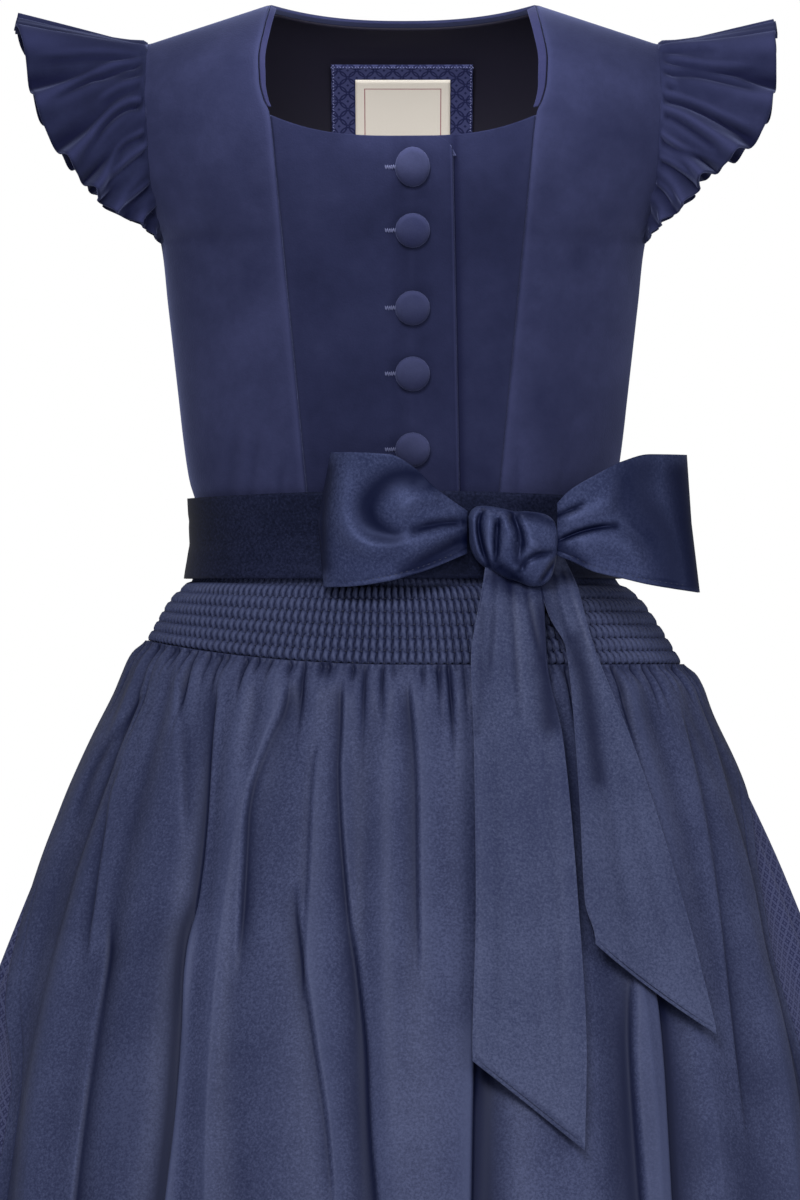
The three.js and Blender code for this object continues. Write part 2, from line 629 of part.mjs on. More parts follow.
function sashBand() {
  const [bottom, , top] = SASH_SECTIONS.map((row) => row.level);
  const surface = (angle, level) => {
    const dip = SASH_SIDE_DIP * smooth(level, bottom, top) * Math.sin(radians(angle)) ** 2;
    return sashPoint(angle, level).add(new THREE.Vector3(0, 0, -dip));
  };
  return clothWall({
    surface,
    us: spread(-180, 180 - 360 / SASH_COLUMNS, SASH_COLUMNS - 1),
    vs: SASH_SECTIONS.map((row) => row.level),
    thickness: SATIN.sash,
    ring: true,
  });
}

// A loop leaves the knot in front, turns at its tip and comes back behind, its creases fanning out.
function bowLoop(loop, middleY) {
  const surface = (turn, up) => {
    const reach = (1 - Math.cos(radians(turn))) / 2;
    const lowerTip = mix(loop.tip.bottom, loop.tip.middle, 2 * up);
    const upperTip = mix(loop.tip.middle, loop.tip.top, 2 * up - 1);
    const x = mix(loop.root, up < 0.5 ? lowerTip : upperTip, reach);
    const top = between(loop.edges, "top", x, "x");
    const bottom = between(loop.edges, "bottom", x, "x");
    const bulge = turn < 180 ? LOOP.frontBulge : LOOP.backBulge;
    const onCreases = Math.cos(radians(180 * LOOP_CREASES.count * up));
    const crease = LOOP_CREASES.depth * reach * (1 - reach) * onCreases;
    const y = middleY(x) - bulge * Math.sin(radians(turn)) - crease;
    return new THREE.Vector3(x, y, mix(bottom, top, up));
  };
  const us = spread(LOOP.rootAngle, 360 - LOOP.rootAngle, 16);
  return middleWall({ surface, us, vs: spread(0, 1, 6), thickness: SATIN.loop });
}

function besideSash(x) {
  const { breadth, level } = SASH_SECTIONS[1];
  return sashPoint(degrees(Math.asin(x / breadth)), level).y;
}
const rightLoopY = (x) => besideSash(x) - LOOP.offSash;
const leftLoopY = (x) => KNOT.y + LOOP.leftSweep * (x - LEFT_LOOP.root);

// The knot: a rounded lump with the wraps' ridges running across it on a slant.
function bowKnot() {
  const geometry = new THREE.SphereGeometry(1, 16, 10).rotateZ(Math.PI / 2);
  const places = geometry.getAttribute("position");
  const place = new THREE.Vector3();
  const { ridge, count, slant, squareness } = KNOT_WRAPS;
  for (let i = 0; i < places.count; i += 1) {
    place.fromBufferAttribute(places, i);
    const cubed = place.toArray().reduce((sum, value) => sum + Math.abs(value) ** 3, 0);
    const squared = Math.min(Math.cbrt(1 / cubed), squareness);
    const onWraps = Math.cos(count * (place.x + slant * place.z)) * (1 - place.x * place.x);
    place.multiplyScalar(squared * (1 + ridge * onWraps));
    place.multiply(new THREE.Vector3(KNOT.halfBreadth, KNOT.halfDepth, KNOT.halfHeight));
    places.setXYZ(i, place.x + KNOT.x, place.y + KNOT.y, place.z + KNOT.z);
  }
  return geometry;
}

// A tail hangs from the knot over the apron's ridges and ends in a slanted cut.
function bowTail(tail, rows) {
  const top = tail.edges.at(-1).level;
  const surface = (across, down) => {
    const level = mix(top, mix(tail.slantFrom, tail.slantTo, across), 1 - down);
    const x = mix(between(tail.edges, "right", level), between(tail.edges, "left", level), across);
    const ridges = OFF_SKIRT.apron + between(APRON_SECTIONS, "fullness", level) + PLEAT.puffed;
    const lift = TAIL.topLift * Math.exp((level - top) / TAIL.liftFades);
    const hollow = TAIL.hollow * Math.cos(radians(360 * across));
    const out = ridges + TAIL.offRidges + lift + hollow;
    const breadth = between(SKIRT_SECTIONS, "breadth", level) + out;
    const angle = degrees(Math.asin((x - between(SKIRT_SECTIONS, "drift", level)) / breadth));
    return skirtPoint(FRONT, angle, level, out);
  };
  return clothWall({ surface, us: spread(0, 1, 6), vs: spread(0, 1, rows), thickness: SATIN.tail });
}

add("bodice_front_centre_right", frontCentreRight(), VELVET);
add("bodice_front_centre_left", frontCentreLeft(), VELVET);
add("bodice_front_side_right", frontSide(RIGHT), VELVET);
add("bodice_front_side_left", frontSide(LEFT), VELVET);
add("bodice_back", back(), VELVET);
add("neck_facing_right", neckFacing(RIGHT), VELVET);
add("neck_facing_left", neckFacing(LEFT), VELVET);
add("back_lining", backLining(), LINING);
add("label_patch", insideBack(PATCH, PATCH_DEPTH, 6, 4), PATCH_CLOTH);
add("neck_label", insideBack(LABEL, PATCH_DEPTH + THICKNESS.label + LABEL.clear, 4, 3), LABEL_CLOTH);
add("sleeve_right", sleeve(RIGHT), VELVET);
add("sleeve_left", sleeve(LEFT), VELVET);
BUTTON_LEVELS.forEach((level, i) => add("button_" + (i + 1), button(level), VELVET));
add("skirt_front", skirtHalf(FRONT, 24), SKIRT_CLOTH);
add("skirt_back", skirtHalf(BACK, 36), SKIRT_CLOTH);
add("apron_skirt", apronSkirt(), APRON_CLOTH);
add("apron_smocking", apronSmocking(), APRON_CLOTH);
add("sash_band", sashBand(), BOW_CLOTH);
add("bow_loop_right", bowLoop(RIGHT_LOOP, rightLoopY), BOW_CLOTH);
add("bow_loop_left", bowLoop(LEFT_LOOP, leftLoopY), BOW_CLOTH);
add("bow_knot", bowKnot(), BOW_CLOTH);
add("bow_tail_right", bowTail(RIGHT_TAIL, 10), BOW_CLOTH);
add("bow_tail_left", bowTail(LEFT_TAIL, 9), BOW_CLOTH);

export default dirndl;
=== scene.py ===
"""A girl's dirndl: a velvet bodice with covered buttons and ruffled cap sleeves, a gathered
jacquard skirt, and a satin apron with a smocked top and a sash tied in a bow.
Tables and surfaces are in millimetres and degrees, and the meshes made from them in metres."""
import math

import bmesh
import bpy
import numpy as np
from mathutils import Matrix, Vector


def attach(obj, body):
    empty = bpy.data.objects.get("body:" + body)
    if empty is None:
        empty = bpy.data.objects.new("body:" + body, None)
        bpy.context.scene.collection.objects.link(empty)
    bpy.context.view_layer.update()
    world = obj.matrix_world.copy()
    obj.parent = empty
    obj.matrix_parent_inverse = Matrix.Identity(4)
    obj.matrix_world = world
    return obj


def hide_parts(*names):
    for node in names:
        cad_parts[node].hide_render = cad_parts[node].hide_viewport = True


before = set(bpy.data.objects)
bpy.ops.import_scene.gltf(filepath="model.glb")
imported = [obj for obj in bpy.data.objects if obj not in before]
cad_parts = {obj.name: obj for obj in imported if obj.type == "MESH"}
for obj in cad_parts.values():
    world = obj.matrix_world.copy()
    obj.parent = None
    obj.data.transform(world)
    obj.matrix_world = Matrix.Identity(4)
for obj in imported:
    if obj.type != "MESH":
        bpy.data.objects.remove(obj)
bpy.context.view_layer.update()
chance = np.random.default_rng(7)

MM = 0.001
FRONT, BACK = -1, 1
RIGHT, LEFT = -1, 1
WAIST = -290
SKIRT_TOP = -312


def columns(names, rows):
    """A table with named columns, in the order of its first one."""
    values = np.array(sorted(rows), dtype=float)
    return dict(zip(names.split(), values.T))


# Sizes of the dress
SHOULDER = dict(neck_half=72, tip_half=139, drop=22, height=100, depth=85, drop_fades=110)
ARMHOLE = dict(top=-22, bottom=-131, half_depth=40)
FRONT_NECK = dict(middle=-73.7, corner=-61.8, half=73)
BACK_NECK = dict(middle=-8.6, half=73.5, power=2.4)
BODY = columns("level breadth depth", [
    (-290, 112, 77), (-276, 113.5, 77.5), (-262, 117.5, 78.5), (-240, 120.8, 80), (-217, 123.4, 81),
    (-165, 129.3, 83.5), (-131, 133.3, 84.5), (-120, 141, 84.8), (-108, 148.5, 85), (-85, 158, 85),
    (-60, 164, 85), (-30, 170, 85), (0, 172, 85)])
SEAM_AND_NECK_EDGE = columns("level across", [
    (-290, 51), (-209, 58.8), (-135, 66), (-93, 70), (-60, 73.5), (-53, 76.5), (-42, 79), (-28, 79.6),
    (-12, 76.8), (0, 73.5)])
LAP = dict(under_edge=7, edge_at_top=27.5, edge_at_waist=31.5, slants_below=-85, corner=12)
LAP_RISE = dict(height=2.6, start=-6, end=6)
# How far a piece lies clear of the one under it.
CLEAR = dict(lining=0.2, patch=0.3, neck_edge=0.2, button=0.3)
BUTTON = dict(radius=9.5, height=5.5, across=5.2)
BUTTON_LEVELS = (-91, -125.6, -168, -204, -245.5)
FACING = dict(bottom=-56.5, top=-0.4, wide={RIGHT: 3.4, LEFT: 5.0}, clear=1.1, inward=0.9, under=0.45,
              taper=(-0.35, 0.25))
PATCH = dict(left=39, right=-40, top=-29, bottom=-91, clear=1.9)
LABEL = dict(left=26.5, right=-26.7, top=-36.7, bottom=-83, clear=0.8)
WALL = dict(velvet=2.0, lining=1.0, label=1.0)
SLEEVE = columns("round right left right_fall left_fall lean swing", [
    (0, 72, 65, -6.5, -6, 0, 3.5), (20, 73, 64, -12, -10, 4, 4.5), (30, 66, 64, 2, 3, 7, 5.5),
    (42, 64, 65, 19, 18, 10, 7.5), (64, 55, 52, 41, 38, 14, 8.5), (84, 44, 35, 48, 46, 15, 7.5),
    (105, 31, 25, 50, 50, 14, 5.5), (122, 17, 15, 64, 68, 12, 3.5), (142, 8, 7, 73, 74, 8, 2),
    (165, 2.5, 2.5, 80, 80, 4, 0.3)])
RUFFLE_CRESTS = (-165, -146, -126, -108, -90, -70, -52, -33, -14, 6, 27, 42, 64, 84, 105, 122, 142, 165)
RUFFLE = dict(end=165, under=0.8, drop=0.3)
SKIRT = columns("level breadth depth drift", [
    (-745, 288, 228, 4), (-600, 251, 196, 4), (-480, 206, 154, 4), (-410, 173, 126, 3.5),
    (-364, 148.5, 104, 2.8), (-343, 136.5, 94, 2.2), (-329, 127.5, 87, 1.4), (-312, 112, 77, 0),
    (-290, 112, 77, 0)])
SKIRT_FOLDS = dict(count=12, swing=11, full_at=-600, smooth_within=60, open_beyond=80)
SMOCKING = dict(pleats=88, top=SKIRT_TOP, first_row=-320.4, rows=7, row_pitch=7.1, half_angle=88)
PLEAT = dict(at_stitches=0.3, puffed=2.7, lying=0.3)
EVEN_PITCH = 4.9
OFF_SKIRT = dict(apron=2.4, smocking=1.8)
APRON = columns("level right_edge left_edge fullness", [
    (-715, 55, 57, 13), (-660, 56, 58, 12), (-600, 58, 59, 11), (-540, 66, 60, 9.5),
    (-480, 73.5, 65, 8), (-445, 79, 73, 6.5), (-410, 86, 84, 5), (-385, 88, 88, 3.5),
    (-364, 88, 88, 2.2)])
APRON_SIDES = dict(start=62, end=86, clings=0.75)
APRON_FOLD_LEVELS = dict(top=-364, half=-465, hem=-715)
# The apron's troughs: their angle at the top, halfway and at the hem, with depth and width.
APRON_FOLDS = (
    (-67, -64, -52, 0.9, 4), (-56, -49, -41, 0.55, 4.5), (-45, -33, -27, 0.95, 4),
    (-23.5, -24, -19, 0.65, 3.5), (-11, -9, -4, 0.75, 3), (14, 11.5, 7.5, 0.8, 3),
    (31, 29, 24, 0.9, 3.5), (41, 37, 31.5, 0.75, 3.5), (55, 49, 42, 0.6, 4.5), (82, 66, 52, 0.9, 4))
SASH = columns("level breadth depth", [(-316, 120.6, 85.5), (-292, 117.6, 83), (-268, 118.7, 83.8)])
SASH_MIDDLE = dict(breadth=117.6, depth=83)
SASH_SIDE_DIP = 4
KNOT = dict(x=59.6, y=-89.5, z=-298, half_depth=12.1, roundness=0.8)
LOOPS = {
    RIGHT: dict(root=36, tip=(-43, -46, -39), leans=0, edges=columns("x top bottom", [
        (-46, -247, -321), (-30, -247, -320.5), (-8, -248, -317.5), (7, -256, -313.5), (17, -266, -310),
        (36, -280, -302)])),
    LEFT: dict(root=83.5, tip=(162, 157.5, 155), leans=6, edges=columns("x top bottom", [
        (83.5, -276, -303), (91, -268, -306), (105, -259.5, -312.5), (120, -252, -316),
        (135, -248, -319.5), (164, -248.5, -324)]))}
LOOP = dict(front_bulge=13, back_bulge=3, root_angle=14, off_sash=9, left_sweep=0.33,
            flat_near_edge=0.35)
LOOP_LEAN = dict(start=40, full=80, about=-285, over=35)
TAILS = {
    RIGHT: dict(slant=(-575, -624), edges=columns("level right left", [
        (-624, 37.5, 99), (-575, 37.5, 100), (-492, 39.5, 95.5), (-404, 38.5, 87.5), (-362, 37, 79),
        (-321.5, 43, 76.5), (-309, 45, 72)])),
    LEFT: dict(slant=(-512, -562), edges=columns("level right left", [
        (-562, 105, 171), (-512, 104.5, 158.5), (-492, 99, 153), (-443, 96.5, 138.5), (-404, 94, 125),
        (-354, 89, 105), (-337, 80, 100), (-321.5, 75, 96), (-300, 70, 86)]))}
TAIL = dict(off_ridges=5.25, lift_from=-321.5, top_lift=9, lift_fades=35, hollow=1.5, wall_share=0.35,
            back_shorter=3, swell=0.9, inset=1.1, creased=0.7)


# Small mathematics
grid = np.meshgrid


def lookup(table, name, at, by="level"):
    """A column's value between a table's rows, on a smooth curve that doesn't overshoot them."""
    x, y = table[by], table[name]
    at = np.clip(at, x[0], x[-1])
    step = np.diff(x)
    slope = np.diff(y) / step
    before, after = slope[:-1], slope[1:]
    same_way = before * after > 0
    inner = np.where(same_way, 2 * before * after / np.where(same_way, before + after, 1), 0)
    tangent = np.concatenate([slope[:1], inner, slope[-1:]])
    i = np.clip(np.searchsorted(x, at, side="right") - 1, 0, len(x) - 2)
    t = (at - x[i]) / step[i]
    near = (1 + 2 * t) * (1 - t) ** 2 * y[i] + t * (1 - t) ** 2 * step[i] * tangent[i]
    return near + t * t * (3 - 2 * t) * y[i + 1] + t * t * (t - 1) * step[i] * tangent[i + 1]


def smooth(value, start, end):
    t = np.clip((value - start) / (end - start), 0, 1)
    return t * t * (3 - 2 * t)


def mix(a, b, t):
    return a + (b - a) * t


def bell(distance, width):
    return np.exp(-((distance / width) ** 2))


def sine(angle):
    return np.sin(np.radians(angle))


def cosine(angle):
    return np.cos(np.radians(angle))


def place(x, y, z):
    return np.stack(np.broadcast_arrays(x, y, z), axis=-1).astype(float)


def normals(points, ring=False):
    """The outward direction at each point of a grid of columns across and rows up."""
    if ring:
        wide = np.concatenate([points[:, -1:], points, points[:, :1]], axis=1)
        across = wide[:, 2:] - wide[:, :-2]
    else:
        across = np.gradient(points, axis=1)
    out = np.cross(across, np.gradient(points, axis=0))
    return out / np.maximum(np.linalg.norm(out, axis=-1, keepdims=True), 1e-9)


def raised(points, relief, ring=False):
    return points + normals(points, ring) * np.asarray(relief)[..., None]


def creases(x, z, rows):
    """Soft troughs between two places on the cloth, each with a low ridge along both sides.
    The columns are x and z of both ends, width and depth; a negative depth is a ridge."""
    relief = 0
    for x0, z0, x1, z1, width, depth in rows:
        length = math.hypot(x1 - x0, z1 - z0)
        along = ((x - x0) * (x1 - x0) + (z - z0) * (z1 - z0)) / length ** 2
        off = ((x - x0) * (z1 - z0) - (z - z0) * (x1 - x0)) / length
        fade = smooth(along, -0.15, 0.25) * smooth(1 - along, -0.15, 0.25)
        relief = relief - depth * fade * (bell(off, width) - 0.4 * bell(off, 2.2 * width))
    return relief


def curved(line):
    """A line with its corners cut twice over, so that it bends smoothly."""
    for _ in range(2):
        inner = []
        for (x0, z0), (x1, z1) in zip(line, line[1:]):
            inner += [(mix(x0, x1, 0.25), mix(z0, z1, 0.25)), (mix(x0, x1, 0.75), mix(z0, z1, 0.75))]
        line = [line[0], *inner, line[-1]]
    return line


def beside_line(x, z, line):
    """How far places are from a line on the cloth, 1 or -1 for its right or left side as it runs, and
    how far along it they are, from 0 to 1."""
    line = curved(line)
    nearest, side, along = (np.full(np.shape(x), fill) for fill in (1e9, 1.0, 0.0))
    lengths = [math.dist(*ends) for ends in zip(line, line[1:])]
    passed = 0
    for (x0, z0), (x1, z1), length in zip(line, line[1:], lengths):
        dx, dz = x1 - x0, z1 - z0
        t = np.clip(((x - x0) * dx + (z - z0) * dz) / length ** 2, 0, 1)
        away = np.hypot(x - x0 - t * dx, z - z0 - t * dz)
        closer = away < nearest
        nearest = np.where(closer, away, nearest)
        side = np.where(closer, np.sign((x - x0) * dz - (z - z0) * dx), side)
        along = np.where(closer, (passed + t * length) / sum(lengths), along)
        passed += length
    return nearest, side, along


def hand_laid(x, z, folds):
    """Soft valleys along lines on the cloth. A fold's columns are its depth and width, how dark its
    painted shade is and over what width, and its places; a negative depth is a ridge. Each dies away at
    its ends."""
    relief = 0
    for depth, width, _, _, *line in folds:
        away, _, along = beside_line(x, z, line)
        fade = 0.35 + 0.65 * smooth(along, 0, 0.15) * smooth(1 - along, 0, 0.3)
        relief = relief - depth * fade * (bell(away, width) - 0.3 * bell(away, 2.2 * width))
    return relief


def shaded(x, z, folds):
    """Painted shade along folds, from 0 to 1."""
    dark = 0
    for _, _, amount, width, *line in folds:
        dark = np.maximum(dark, amount * bell(beside_line(x, z, line)[0], width))
    return dark


# Surfaces
def body_depth(level):
    up = np.clip(1 + level / SHOULDER["height"], 0, 1)
    rounded = SHOULDER["depth"] * np.sqrt(1 - up * up)
    return np.where(level < -SHOULDER["height"], lookup(BODY, "depth", level), rounded)


def shoulder_drop(level):
    return SHOULDER["drop"] * np.maximum(0, 1 + level / SHOULDER["drop_fades"])


def body_point(facing, angle, level, rise=0.0):
    x = lookup(BODY, "breadth", level) * sine(angle)
    y = facing * (body_depth(level) * cosine(angle) + rise)
    along = (np.abs(x) - SHOULDER["neck_half"]) / (SHOULDER["tip_half"] - SHOULDER["neck_half"])
    return place(x, y, level - shoulder_drop(level) * np.clip(along, 0, 1))


def angle_across(x, level):
    return np.degrees(np.arcsin(np.clip(x / lookup(BODY, "breadth", level), -1, 1)))


def armhole_angle(level):
    height = level - shoulder_drop(level)
    middle = (ARMHOLE["top"] + ARMHOLE["bottom"]) / 2
    up = np.clip((height - middle) / (ARMHOLE["top"] - middle), -1, 1)
    ratio = ARMHOLE["half_depth"] * np.sqrt(1 - up * up) / np.maximum(body_depth(level), 1e-6)
    return np.where(height <= ARMHOLE["bottom"], 90, np.degrees(np.arccos(np.clip(ratio, 0, 1))))


SHOULDER_LINE = -0.0001


def bodice_level(top, up):
    return mix(top, WAIST, (1 - up) ** 2)


def seam_across(level):
    return lookup(SEAM_AND_NECK_EDGE, "across", level)


def skirt_point(facing, angle, level, out=0.0):
    breadth = lookup(SKIRT, "breadth", level) + out
    depth = lookup(SKIRT, "depth", level) + out
    x = lookup(SKIRT, "drift", level) + breadth * sine(angle)
    return place(x, facing * depth * cosine(angle), level)


def sash_point(angle, level):
    x = lookup(SASH, "breadth", level) * sine(angle)
    return place(x, -lookup(SASH, "depth", level) * cosine(angle), level)


def evened(points, axis, steps, wraps):
    """The points drawn towards their neighbours along an axis, again and again."""
    for _ in range(steps):
        margin = [(1, 1) if at == axis else (0, 0) for at in range(3)]
        wide = np.moveaxis(np.pad(points, margin, mode="wrap" if wraps else "edge"), axis, 0)
        points = np.moveaxis((wide[:-2] + 2 * wide[1:-1] + wide[2:]) / 4, 0, axis)
    return points


def sunk(points, ring, across, up, full):
    """How deep each place lies in a fold, 1 where it is full mm below the cloth round it and -1 as far
    above it; across and up say how many grid steps that is judged over."""
    even = evened(evened(points, 1, across, ring), 0, up, False)
    below = ((even - points) * normals(even, ring)).sum(axis=-1)
    return below / full


# Making pieces
def surface_mesh(name, points, ring=False, pattern_row=None, folded=None, shade=0):
    """A mesh over a grid of points, with a UV map in metres along the cloth and an attribute of painted
    shade: how deep each place lies in a fold, plus any painted shade or highlight given."""
    rows, cols = points.shape[:2]
    wrapped = np.concatenate([points, points[:, :1]], axis=1) if ring else points
    steps_u = np.linalg.norm(np.diff(wrapped, axis=1), axis=-1)
    steps = steps_u.mean(axis=0) if pattern_row is None else steps_u[pattern_row]
    u = np.concatenate([[0], np.cumsum(steps)])
    v = np.concatenate([[0], np.cumsum(np.linalg.norm(np.diff(points, axis=0), axis=-1).mean(axis=1))])
    u -= u.mean()
    v -= v.mean()
    i, j = np.meshgrid(np.arange(rows - 1), np.arange(wrapped.shape[1] - 1), indexing="ij")
    i, j = i.ravel(), j.ravel()
    corners = [(i, j), (i, j + 1), (i + 1, j + 1), (i + 1, j)]
    faces = np.stack([a * cols + b % cols for a, b in corners], axis=1)
    uv = np.stack([np.stack([u[b], v[a]], axis=1) for a, b in corners], axis=1) * MM
    mesh = bpy.data.meshes.new(name)
    mesh.vertices.add(rows * cols)
    mesh.vertices.foreach_set("co", (points * MM).ravel())
    mesh.loops.add(faces.size)
    mesh.loops.foreach_set("vertex_index", faces.ravel())
    mesh.polygons.add(len(faces))
    mesh.polygons.foreach_set("loop_start", np.arange(0, faces.size, 4))
    mesh.update(calc_edges=True)
    mesh.uv_layers.new(name="cloth").data.foreach_set("uv", uv.ravel())
    # Painted shade: the materials darken the cloth where this is high and lighten it where negative.
    if folded:
        depth = mesh.attributes.new("painted_fold_shade", "FLOAT", "POINT")
        depth.data.foreach_set("value", np.clip(sunk(points, ring, *folded) + shade, -1, 1).ravel())
    mesh.validate()
    return mesh


def settle(piece, material):
    """Turns a piece and its modifiers into one plain smooth mesh of a material."""
    graph = bpy.context.evaluated_depsgraph_get()
    made = bpy.data.meshes.new_from_object(
        piece.evaluated_get(graph), preserve_all_data_layers=True, depsgraph=graph)
    piece.modifiers.clear()
    piece.data = made
    made.materials.clear()
    made.materials.append(material)
    clean = bmesh.new()
    clean.from_mesh(made)
    bmesh.ops.remove_doubles(clean, verts=clean.verts, dist=1e-7)
    clean.to_mesh(made)
    clean.free()
    made.shade_smooth()
    return piece


pieces = {}


def put(name, mesh, nodes=()):
    piece = pieces[name] = bpy.data.objects.new(name, mesh)
    bpy.context.scene.collection.objects.link(piece)
    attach(piece, "root")
    if nodes:
        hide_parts(*nodes)
    return piece


def cloth(name, node, points, wall, material, ring=False, offset=-1.0, pattern_row=None, fine=0,
          folded=None, shade=0):
    """A thin shell of cloth whose outer face, or middle where offset is 0, is a grid of points."""
    # folded and shade set the piece's painted shade in creases and painted highlight on edges.
    piece = put(name, surface_mesh(name, points, ring, pattern_row, folded, shade), [node])
    solid = piece.modifiers.new("wall", "SOLIDIFY")
    solid.thickness = wall * MM
    solid.offset = offset
    rounded = piece.modifiers.new("rounded", "SUBSURF")
    rounded.levels = fine
    rounded.render_levels = fine
    return settle(piece, material)


# Materials
def colour(code):
    """A linear colour from an sRGB hex code."""
    parts = [int(code[i:i + 2], 16) / 255 for i in (1, 3, 5)]
    return tuple(c / 12.92 if c <= 0.04045 else ((c + 0.055) / 1.055) ** 2.4 for c in parts) + (1.0,)


def add(tree, kind, inputs=(), **settings):
    """Adds a node with its settings; inputs gives each socket a value or another node's output."""
    made = tree.nodes.new(kind)
    for name, value in settings.items():
        setattr(made, name, value)
    for socket, value in dict(inputs).items():
        if isinstance(value, bpy.types.NodeSocket):
            tree.links.new(value, made.inputs[socket])
        else:
            made.inputs[socket].default_value = value
    return made


def finish_named(name, **shader_values):
    """A material with one Principled shader whose plain values are set on its own sockets."""
    material = bpy.data.materials.new(name)
    material.use_nodes = True
    shader = material.node_tree.nodes["Principled BSDF"]
    for socket, value in shader_values.items():
        shader.inputs[socket.replace("_", " ")].default_value = value
    return material, material.node_tree, shader


def shades(tree, factor, *stops):
    """A colour ramp from pairs of place and hex code."""
    ramp = add(tree, "ShaderNodeValToRGB", {"Fac": factor})
    for index, (at, code) in enumerate(stops):
        stop = ramp.color_ramp.elements[index] if index < 2 else ramp.color_ramp.elements.new(at)
        stop.position = at
        stop.color = colour(code)
    return ramp.outputs["Color"]


def noise(tree, vector, size_mm, detail=2.0, roughness=0.5):
    inputs = {"Vector": vector, "Scale": 1 / (size_mm * MM), "Detail": detail, "Roughness": roughness}
    return add(tree, "ShaderNodeTexNoise", inputs).outputs["Fac"]


def math_node(tree, operation, a, b=0.0):
    return add(tree, "ShaderNodeMath", {0: a, 1: b}, operation=operation).outputs[0]


def vector_node(tree, operation, a, b=(0, 0, 0), output=0):
    return add(tree, "ShaderNodeVectorMath", {0: a, 1: b}, operation=operation).outputs[output]


def mixed(tree, factor, a, b):
    inputs = {"Factor": factor, "A": a, "B": b}
    return add(tree, "ShaderNodeMix", inputs, data_type="RGBA").outputs["Result"]


def bumpy(tree, shader, height, strength, distance):
    """Roughens a shader's surface by a height in metres."""
    bump = add(tree, "ShaderNodeBump", {"Height": height, "Strength": strength, "Distance": distance})
    tree.links.new(bump.outputs["Normal"], shader.inputs["Normal"])


def in_folds(tree, base, fold, crest):
    """The base colour, turning to the fold's colour deep in a crease as painted shade, and to the
    crest's on an edge as a painted highlight."""
    depth = add(tree, "ShaderNodeAttribute", attribute_name="painted_fold_shade").outputs["Fac"]
    with_painted_shade = mixed(tree, depth, base, colour(fold))
    return mixed(tree, math_node(tree, "MULTIPLY", depth, -0.8), with_painted_shade, colour(crest))


def velvet(name, deep, mid, lit, fold="#101333", crest="#3f4369"):
    """Cotton velvet: a short dense pile, so it has no gloss, lights up where it is seen aslant, and
    shows soft lighter and darker clouds where the pile was stroked one way or the other. Its fold and
    crest colours are painted shade in creases and a painted highlight on edges."""
    material, tree, shader = finish_named(
        name, Roughness=0.9, Specular_IOR_Level=0.15, Sheen_Weight=0.55, Sheen_Roughness=0.4,
        Sheen_Tint=colour("#8d96c8"))
    at = add(tree, "ShaderNodeTexCoord").outputs["Object"]
    pile = shades(tree, noise(tree, at, 55, 7.0, 0.68), (0.32, deep), (0.68, lit), (0.5, mid))
    tree.links.new(in_folds(tree, pile, fold, crest), shader.inputs["Base Color"])
    # The pile's tufts are about 0.3 mm apart, drawn at 1.2 mm so that they show.
    bumpy(tree, shader, noise(tree, at, 1.2), 0.4, 0.0004)
    return material


def satin(name, deep, mid, lit, roughness, gloss, fold="#141935", crest="#444b6b", tint="#b9c0dc"):
    """Duchesse satin: long warp floats give it a soft broad gloss along each fold, over a fine speckled
    grain, and its blue turns a little violet in soft clouds. Its fold and crest colours are painted
    shade in creases and a painted highlight on edges."""
    material, tree, shader = finish_named(
        name, Roughness=roughness, Specular_IOR_Level=gloss, Specular_Tint=colour(tint))
    at = add(tree, "ShaderNodeTexCoord").outputs["Object"]
    # The floats are 0.15 mm threads, drawn as a 1.4 mm grain so that they show.
    grain = noise(tree, at, 1.4, 3.0, 0.75)
    both = add(tree, "ShaderNodeMix", {"Factor": 0.7, "A": noise(tree, at, 60, 2.0), "B": grain})
    threads = shades(tree, both.outputs["Result"], (0.39, deep), (0.61, lit), (0.5, mid))
    tree.links.new(in_folds(tree, threads, fold, crest), shader.inputs["Base Color"])
    bumpy(tree, shader, grain, 0.2, 0.0003)
    return material


def lattice(tree, pitch_mm, ring_radius, ring_width, eye):
    """Overlapping rings that leave petals between them, with a small diamond in each: 1 on a thread."""
    uv = add(tree, "ShaderNodeUVMap", uv_map="cloth").outputs["UV"]
    pitches = 1 / (pitch_mm * MM)
    cells = add(tree, "ShaderNodeVectorMath", {0: uv, 3: pitches}, operation="SCALE").outputs[0]
    masks = []
    for shift in (0.0, 0.5):
        cell = vector_node(tree, "FRACTION", vector_node(tree, "ADD", cells, (shift, shift, 0)))
        local = vector_node(tree, "SUBTRACT", cell, (0.5, 0.5, 0))
        length = vector_node(tree, "LENGTH", local, output="Value")
        off_ring = math_node(tree, "ABSOLUTE", math_node(tree, "SUBTRACT", length, ring_radius))
        masks.append(math_node(tree, "LESS_THAN", off_ring, ring_width))
        size = vector_node(tree, "ABSOLUTE", local)
        total = vector_node(tree, "DOT_PRODUCT", size, (1, 1, 0), "Value")
        masks.append(math_node(tree, "LESS_THAN", total, eye))
    mask = masks[0]
    for other in masks[1:]:
        mask = math_node(tree, "MAXIMUM", mask, other)
    return mask, uv


def jacquard(name, ground, figure, pitch_mm, roughness, line=0.055):
    """Jacquard: a matt ground with a small woven figure of smoother floats that catches the light."""
    material, tree, shader = finish_named(
        name, Roughness=roughness, Specular_IOR_Level=0.4, Specular_Tint=colour("#a3add8"),
        Sheen_Weight=0.2, Sheen_Roughness=0.5, Sheen_Tint=colour("#7c86c0"))
    mask, uv = lattice(tree, pitch_mm, 0.43, line, 2 * line)
    grain = noise(tree, uv, 0.9, 2.0, 0.6)
    soft = math_node(tree, "MULTIPLY", mask, math_node(tree, "ADD", grain, 0.35))
    tree.links.new(shades(tree, soft, (0.1, ground), (0.9, figure)), shader.inputs["Base Color"])
    bumpy(tree, shader, math_node(tree, "ADD", mask, grain), 0.3, 0.0003)
    return material


